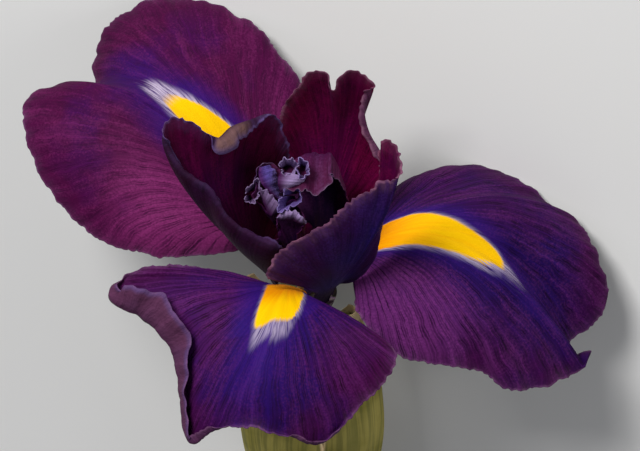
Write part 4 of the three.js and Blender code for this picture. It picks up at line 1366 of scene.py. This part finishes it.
class GrowthTree(NodeTree):
    """A Geometry Nodes tree with named inputs."""

    family = "GeometryNode"

    def __init__(self, name: str, inputs: dict[str, tuple[str, float | None]]) -> None:
        """Starts the tree.

        Args:
            name: the tree's name.
            inputs: each input's name with its socket type and first value.
        """
        super().__init__(bpy.data.node_groups.new(name, "GeometryNodeTree"))
        sockets = self.tree.interface
        sockets.new_socket("Geometry", in_out="INPUT", socket_type="NodeSocketGeometry")
        self.ids = {}
        for key, (kind, value) in inputs.items():
            socket = sockets.new_socket(key, in_out="INPUT", socket_type="NodeSocket" + kind)
            if value is not None:
                socket.default_value = value
            self.ids[key] = socket.identifier
        sockets.new_socket("Geometry", in_out="OUTPUT", socket_type="NodeSocketGeometry")
        self.given = self.node("NodeGroupInput", {}).outputs

    def keep(self, geometry: Socket, name: str, value: Socket) -> Socket:
        """Returns geometry that carries a number as a named attribute."""
        feeds = {"Geometry": geometry, "Name": name, "Value": value}
        return self.add("StoreNamedAttribute", feeds).outputs[0]

    def end(self, geometry: Socket) -> None:
        """Ends the tree in real geometry with the material input."""
        real = self.add("RealizeInstances", {"Geometry": geometry}).outputs[0]
        made = self.add("SetMaterial", {"Geometry": real, "Material": self.given["Material"]})
        self.node("NodeGroupOutput", {0: made.outputs[0]})

    def grow(self, piece: bpy.types.Object, values: dict[str, float | bpy.types.Material]) -> None:
        """Runs the tree on an object and keeps the plain mesh that comes of it.

        Args:
            piece: the object, whose mesh is replaced.
            values: the named inputs' values.
        """
        modifier = piece.modifiers.new("growth", "NODES")
        modifier.node_group = self.tree
        for key, value in values.items():
            modifier[self.ids[key]] = value
        evaluated = piece.evaluated_get(bpy.context.evaluated_depsgraph_get())
        made = bpy.data.meshes.new_from_object(evaluated)
        points = np.empty(len(made.vertices) * 3, np.float32)
        made.vertices.foreach_get("co", points)
        made.vertices.foreach_set("co", inside(points.reshape(-1, 3)).ravel())
        piece.modifiers.remove(modifier)
        piece.data = made
        made.shade_smooth()


def stalk_tree() -> GrowthTree:
    """Makes the tree that sweeps a ribbed round along a path whose points carry a girth."""
    inputs = {
        "Ribs": ("Float", 3.0),
        "Rib Depth": ("Float", 0.05),
        "Sides": ("Int", 96),
        "Rings": ("Int", 80),
        "Material": ("Material", None),
    }
    t = GrowthTree("ribbed stalk", inputs)
    path = t.add("MeshToCurve", {"Mesh": t.given["Geometry"]}).outputs[0]
    path = t.add("ResampleCurve", {"Curve": path, "Count": t.given["Rings"]}).outputs[0]
    girth = t.add("InputNamedAttribute", {"Name": "girth"}).outputs[0]
    length = t.add("SplineParameter", {}).outputs["Length"]
    path = t.keep(path, "along", t.times(length, 1 / MM))
    circle = {"Resolution": t.given["Sides"], "Radius": 1.0}
    profile = t.add("CurvePrimitiveCircle", circle).outputs[0]
    share = t.add("SplineParameter", {}).outputs["Factor"]
    wave = t.maths("COSINE", t.times(t.times(share, 2 * math.pi), t.given["Ribs"]))
    size = t.plus(t.times(wave, t.given["Rib Depth"]), 1.0)
    at = t.add("InputPosition", {}).outputs[0]
    moved = t.node("ShaderNodeVectorMath", {0: at, "Scale": size}, operation="SCALE").outputs[0]
    profile = t.add("SetPosition", {"Geometry": profile, "Position": moved}).outputs[0]
    profile = t.keep(profile, "around", t.times(share, 24.0))
    feeds = {"Curve": path, "Profile Curve": profile, "Scale": girth, "Fill Caps": True}
    t.end(t.add("CurveToMesh", feeds).outputs[0])
    return t


def pollen_tree() -> GrowthTree:
    """Makes the tree that dusts a surface with round grains."""
    inputs = {
        "Density": ("Float", 3.0),
        "Grain": ("Float", 0.0001),
        "Seed": ("Int", 4),
        "Material": ("Material", None),
    }
    t = GrowthTree("pollen", inputs)
    anther = t.given["Geometry"]
    feeds = {"Mesh": anther, "Density": t.given["Density"], "Seed": t.given["Seed"]}
    dots = t.add("DistributePointsOnFaces", feeds).outputs["Points"]
    ball = t.add("MeshIcoSphere", {"Radius": t.given["Grain"], "Subdivisions": 1}).outputs[0]
    grains = t.add("InstanceOnPoints", {"Points": dots, "Instance": ball}).outputs[0]
    both = t.add("JoinGeometry", {"Geometry": anther})
    t.tree.links.new(grains, both.inputs[0])
    t.end(both.outputs[0])
    return t


@dataclass(frozen=True)
class Stalk:
    """The stem, the ovary, the perianth tube and the style column, each swept along the axis.

    Sizes are in mm. A row of tube_girths is how far down the tube it is, and the tube's radius
    there. The middle line bows to the back by stem_bow, and less so towards the stem's end.
    """

    flesh: GreenFinish
    tube: GreenFinish
    column: PlainFinish
    tube_length: float = 8.0
    tube_girths: tuple[Row, ...] = ((0, 5.6), (1.5, 5.2), (4, 4.0), (8, 3.4))
    ovary_length: float = 26.0
    ovary_radii: tuple[float, float] = (3.4, 3.7)
    ovary_swell: float = 0.7
    stem_end: float = -122.0
    stem_radii: tuple[float, float] = (3.4, 3.8)
    stem_bow: float = 3.6
    stem_relax: float = 0.35
    column_radius: float = 1.5
    column_height: float = 8.7
    gap: float = 0.3

    def path(self, name: str, place: Placement, z: Array, girth: Array) -> bpy.types.Object:
        """Makes a bare path that carries a girth, in metres.

        Args:
            name: the piece's name.
            place: where the flower lies.
            z: levels along the axis, in mm.
            girth: the radius at each level, in mm.

        Returns:
            The path as an object.
        """
        low = self.tube_length + self.ovary_length
        t = (z + low) / (self.stem_end + low)
        bow = self.stem_bow * np.maximum(t, 0) * (1 - self.stem_relax * t)
        mesh = bpy.data.meshes.new(name)
        points = place.points(np.stack([0 * z, bow, z], -1))
        mesh.from_pydata(points.tolist(), [(i, i + 1) for i in range(len(z) - 1)], [])
        data = mesh.attributes.new("girth", "FLOAT", "POINT").data
        data.foreach_set("value", np.array(girth * MM, np.float32))
        return placed(name, mesh)

    def build(self, place: Placement) -> None:
        """Sweeps each piece and dresses it."""
        tree = stalk_tree()
        low = -self.tube_length - self.ovary_length
        stem = np.linspace(low - self.gap / 2, self.stem_end, 40)
        ovary = np.linspace(-self.tube_length - self.gap, low + self.gap, 40)
        neck, belly = self.ovary_radii
        swell = np.sin(np.pi * np.linspace(0, 1, 40)) ** self.ovary_swell
        depth = np.linspace(0, self.tube_length, 24)
        tube_girth = np.interp(depth, *np.array(self.tube_girths).T)
        column = np.linspace(self.gap, self.gap + self.column_height, 8)
        green, pale, lilac = (f.material() for f in (self.flesh, self.tube, self.column))
        plans = (
            ("stem", stem, np.linspace(*self.stem_radii, 40), 7.0, 0.012, green, "green_flesh"),
            ("ovary", ovary, neck + (belly - neck) * swell, 3.0, 0.08, green, "green_flesh"),
            ("perianth_tube", -depth, tube_girth, 6.0, 0.012, pale, "tube"),
            ("style_column", column, np.full(8, self.column_radius), 3.0, 0.01, lilac, "style"),
        )
        for name, z, girth, ribs, depth, material, slot in plans:
            piece = self.path(name, place, z, girth)
            tree.grow(piece, {"Ribs": ribs, "Rib Depth": depth, "Material": material})
            piece.data.attributes.new("dry", "FLOAT", "POINT")
            dress(piece, material, slot, name)


@dataclass(frozen=True)
class Stamens:
    """Three stamens under the style arms: a thin filament that widens into a dusty anther.

    A row is the distance from the axis, the share of the height and the radius, in mm. Azimuths
    are in degrees. The dust's density is in grains in a square metre, and a grain is in metres.
    """

    finish: PlainFinish
    azimuths: dict[str, float]
    foot: float = 0.3
    height: float = 10.5
    rows: tuple[Row, ...] = (
        (2.8, 0, 0.55), (3, 0.25, 0.55), (3.2, 0.42, 0.6), (3.4, 0.55, 0.9), (3.8, 0.8, 0.9),
        (4, 0.94, 0.7), (4.1, 1, 0.3),
    )
    density: float = 2.0e6
    grain: float = 0.00009
    rings: int = 40
    sides: int = 24

    def build(self, place: Placement) -> None:
        """Builds the stamens and dusts them with pollen."""
        tree, material = pollen_tree(), self.finish.material()
        r, t, width = through(self.rows, np.linspace(0, 1, self.rings)).T
        turn = np.linspace(0, 2 * np.pi, self.sides, endpoint=False)
        circle = np.stack([np.cos(turn), np.sin(turn), 0 * turn], -1)
        for name, azimuth in self.azimuths.items():
            a = math.radians(azimuth)
            middle = [r * math.cos(a), r * math.sin(a), self.foot + self.height * t]
            middle = np.stack(middle, -1)
            rings = middle[:, None] + width[:, None, None] * circle
            points = np.concatenate([rings.reshape(-1, 3), middle[:1], middle[-1:]])
            piece = Sheet(points, self.skin(), {}).piece(name, place)
            values = {"Density": self.density, "Grain": self.grain, "Material": material}
            tree.grow(piece, values)
            dress(piece, material, "stamen", name)

    def skin(self) -> Array:
        """Returns the quads of a closed tube, with each end's points drawn in to one."""
        rings, n = self.rings, self.sides
        i, j = np.meshgrid(np.arange(rings - 1), np.arange(n), indexing="ij")
        a, b = (i * n + j).ravel(), (i * n + (j + 1) % n).ravel()
        walls = np.stack([a, b, b + n, a + n], 1)
        k, top = np.arange(0, n, 2), (rings - 1) * n
        foot, head = np.full(len(k), rings * n), np.full(len(k), rings * n + 1)
        foot = np.stack([foot, (k + 2) % n, (k + 1) % n, k], 1)
        head = np.stack([head, top + k, top + (k + 1) % n, top + (k + 2) % n], 1)
        return np.concatenate([walls, foot, head])


@dataclass(frozen=True)
class Lamp:
    """A soft square light that faces the bloom.

    Towards is how far it stands to the view's right, up and back, as a direction. The distance
    and the side, size, are in metres, and the power is in watts.
    """

    name: str
    towards: Row
    distance: float
    size: float
    power: float


@dataclass(frozen=True)
class Studio:
    """The pale floor, the soft lights and the camera that looks down on the bloom.

    The tilt is how far the camera looks down on the upright flower, in degrees, and its distance
    is in mm. The picture's middle is in pixels from the flower's origin, right and up. The
    floor's half width is in metres.
    """

    tilt: float = 45.0
    mm_per_pixel: float = 0.175
    distance: float = 800.0
    width: float = 640.0
    sensor: float = 36.0
    middle: tuple[float, float] = (15.0, 64.5)
    floor: str = "#d9d8d6"
    floor_half: float = 3.0
    sky: tuple[float, ...] = (0.9, 0.93, 1.0, 1)
    sky_strength: float = 0.25
    lamps: tuple[Lamp, ...] = (
        Lamp("key", (-0.45, 0.45, 1.0), 0.9, 0.30, 9.0),
        Lamp("fill", (0.9, -0.1, 0.8), 1.1, 0.6, 3.0),
    )

    def axes(self) -> tuple[Array, Array, Array, Array]:
        """Returns the view's right, up and back about the flower, and what it looks at."""
        e = math.radians(self.tilt)
        right, up = np.array([1.0, 0, 0]), np.array([0, math.sin(e), math.cos(e)])
        back = np.array([0, -math.cos(e), math.sin(e)])
        aim = (right * self.middle[0] + up * self.middle[1]) * self.mm_per_pixel
        return right, up, back, aim

    def camera(self, place: Placement) -> None:
        """Sets the camera at the photograph's angle."""
        right, up, back, aim = self.axes()
        data = bpy.data.cameras.new("camera")
        data.sensor_width = self.sensor
        data.lens = self.sensor * self.distance / self.mm_per_pixel / self.width
        data.clip_start, data.clip_end = 0.05, 20.0
        camera = placed("camera", data)
        turn = Matrix([place.direction(a).tolist() for a in (right, up, back)]).transposed()
        stand = Matrix.Translation(Vector(place.points(aim + back * self.distance)))
        camera.matrix_world = stand @ turn.to_4x4()
        bpy.context.scene.camera = camera

    def light(self, lamp: Lamp, place: Placement) -> None:
        """Adds a light."""
        right, up, back, aim = self.axes()
        away = unit(right * lamp.towards[0] + up * lamp.towards[1] + back * lamp.towards[2])
        data = bpy.data.lights.new(lamp.name, "AREA")
        data.size, data.energy = lamp.size, lamp.power
        light = placed(lamp.name, data)
        direction = Vector(place.direction(away))
        light.location = Vector(place.points(aim)) + direction * lamp.distance
        light.rotation_mode = "QUATERNION"
        light.rotation_quaternion = direction.to_track_quat("Z", "Y")

    def build(self, place: Placement) -> None:
        """Lays the floor and sets the lights and the camera."""
        mesh = bpy.data.meshes.new("floor")
        h = self.floor_half
        mesh.from_pydata([(-h, -h, 0), (h, -h, 0), (h, h, 0), (-h, h, 0)], [], [(0, 1, 2, 3)])
        paper = PlainFinish("matt paper floor", self.floor, self.floor, 0.9, 5.0, 0.0)
        mesh.materials.append(paper.material())
        floor = placed("floor", mesh)
        world = bpy.data.worlds.new("studio")
        world.use_nodes = True
        sky = world.node_tree.nodes["Background"].inputs
        sky["Color"].default_value = self.sky
        sky["Strength"].default_value = self.sky_strength
        bpy.context.scene.world = world
        bpy.context.scene.view_settings.view_transform = "Standard"
        for lamp in self.lamps:
            self.light(lamp, place)
        self.camera(place)


# The falls: wine velvet, blue by the midrib, dull mauve backs and hems, and a painted highlight.
FALL_FINISH = PetalFinish(
    "left fall petal",
    inner=Tissue("#480838", "#290758", "#7c2862", "#30062a"),
    outer=Tissue("#4c2440", "#3e2450", "#6a4260", "#2a1226"),
    rim="#7c5278", rim_width=0.6, rim_strength=0.6, dash=0.26, vein_floor=0.355,
    signal=Signal(
        32, 6.6, 0.5, white_power=0.75, bend=-3, streak=8.5, hair=0.9, fringe=0.4, fade=3.5
    ),
    # painted highlight on the lower lobe, beside the midrib
    seed=1.0, blue_share=-0.2, painted_sheen=0.85, pale=("#5e3048", "#564478"), cool=(0.8, 0.0, 0.7),
    relief=0.28, pleat=4.5,
)
FALL_RIGHT_FINISH = replace(
    FALL_FINISH,
    name="right fall petal",
    inner=Tissue("#400a40", "#220a52", "#6e2c70", "#10011a"),
    dash=0.12, vein_floor=0.46,
    signal=Signal(
        31.5, 5.0, 0.42, white_strength=0.65, bend=1.0, streak=9, streak_bend=-1.5, fringe=0.6,
        blue_width=5.0,
    ),
    # painted highlight on the other side of the midrib
    seed=2.0, blue_share=0.3, painted_sheen=0.8, painted_sheen_side=-1.0,
)
FALL_FRONT_FINISH = replace(
    FALL_FINISH,
    name="front fall petal",
    inner=Tissue("#460a3a", "#240954", "#662468", "#180214"),
    dash=0.15, vein_floor=0.4375,
    signal=Signal(
        14.5, 4.7, 0.16, white_power=0.5, white_strength=0.5, streak=7.5, streak_bend=-1,
        slant=0.5, soft_side=1, fringe=0.6,
    ),
    # a faint painted highlight on the other side of the midrib
    seed=3.0, blue_share=0.45, painted_sheen=0.2, painted_sheen_side=-1.0,
)

# The standards: deep crimson inside, near-black violet outside, tan hems, neck in painted shade.
STANDARD_FINISH = PetalFinish(
    "standard petal",
    inner=Tissue("#52002a", "#420036", "#7a0c46", "#1c0008"),
    outer=Tissue("#280834", "#160a4a", "#42266c", "#0e0420"),
    rim="#94607a", rim_width=0.7, rim_strength=0.75, veins=34.0, vein_strength=0.7, seed=4.0,
    pale=("#84604e", "#604a70"), cool=(0.5, 0.0, 0.7), painted_shade_reach=5.0,
)
STANDARD_BACK_FINISH = replace(
    STANDARD_FINISH,
    name="back standard petal",
    outer=Tissue("#48203e", "#382048", "#6c4060", "#240c20"),
    rim="#8a5c74", seed=4.5,
)
# Left standard: darker grounds as painted shade for how it faces the light, and its own lilac rim.
STANDARD_LEFT_SHADED_FINISH = replace(
    STANDARD_FINISH,
    name="left standard petal with painted shade",
    inner=Tissue("#400024", "#300030", "#640a3e", "#160006"),
    outer=Tissue("#26061c", "#180832", "#3a163e", "#0e0208"),
    rim="#6c5690", seed=5.0,
)

# The style arms: the same velvet, drying to dusty lilac crests, with painted shade at the neck.
STYLE_FINISH = PetalFinish(
    "style petal",
    inner=Tissue("#4a1438", "#300f4c", "#6c3a6a", "#1c0622"),
    outer=Tissue("#3e1040", "#261052", "#6c3c74", "#1a0626"),
    rim="#a090b4", rim_width=0.14, rim_strength=0.35, rim_from=14.0, veins=16.0, vein_strength=0.5,
    blue_share=-0.2, pale=("#9a82b0", "#6050b0"), pale_share=0.65, painted_shade="#120320", painted_shade_reach=8.0,
)

# The spathe: olive leaf dried to tan paper at its tip and edges, that tan lightened as painted light.
LEAF = GreenFinish(
    "spathe leaf", "#88803c", "#a89c54", "#565a30", "#ecd0a0", dry_from=0.2, dry_to=0.6, roughness=0.6
)

# The stem and the ovary: fresh green flesh, with wider ribs than the leaf's.
FLESH = GreenFinish(
    "stem flesh", "#627a34", "#86984f", "#4c6128", "#a89a70", rib_pitch=1.1, dry_from=2.0, dry_to=3.0
)

# The tube: yellower green, clouded with the petals' purple.
TUBE = GreenFinish(
    "tube flesh", "#7d8a48", "#6a4a6e", "#5b6a38", "#a89a70", dry_from=2.0, dry_to=3.0
)

WHORLS = (
    Whorl(
        {
            "fall_left": (FALL_LEFT, FALL_FINISH),
            "fall_right": (FALL_RIGHT, FALL_RIGHT_FINISH),
            "fall_front": (FALL_FRONT, FALL_FRONT_FINISH),
        },
        "fall_petal", Fineness(), 0.4,
    ),
    Whorl(
        {
            "standard_left": (STANDARD_LEFT, STANDARD_LEFT_SHADED_FINISH),
            "standard_back": (STANDARD_BACK, STANDARD_BACK_FINISH),
            "standard_front": (STANDARD_FRONT, STANDARD_FINISH),
        },
        "standard_petal", Fineness(haft=8, blade=40, hem=5, columns=300), 0.35,
    ),
    Whorl(
        {
            "style_arm_left": (STYLE_LEFT, STYLE_FINISH),
            "style_arm_right": (STYLE_RIGHT, STYLE_FINISH),
            "style_arm_front": (STYLE_FRONT, STYLE_FINISH),
        },
        "style", Fineness(haft=6, blade=30, hem=5, columns=220), 0.35,
    ),
)


def main() -> None:
    """Builds the flower and its studio."""
    logging.basicConfig(level=logging.INFO, format="%(name)s: %(message)s")
    for node in frame["nodes"].values():
        node.data.shade_smooth()
    place = Placement()
    for whorl in WHORLS:
        whorl.build(place)
    Spathe("spathe_outer", 180.0, SPATHE_OUTER_ROWS, LEAF).build(place)
    Spathe("spathe_inner", 0.0, SPATHE_INNER_ROWS, LEAF).build(place)
    Stalk(FLESH, TUBE, PlainFinish("style column flesh", "#6d5aa0", "#8474b4")).build(place)
    azimuths = {"stamen_left": 138, "stamen_right": 0, "stamen_front": 255}
    Stamens(PlainFinish("pollen sac", "#d3c08a", "#b89c5c", 0.9), azimuths).build(place)
    Studio().build(place)


if __name__ == "__main__":
    main()
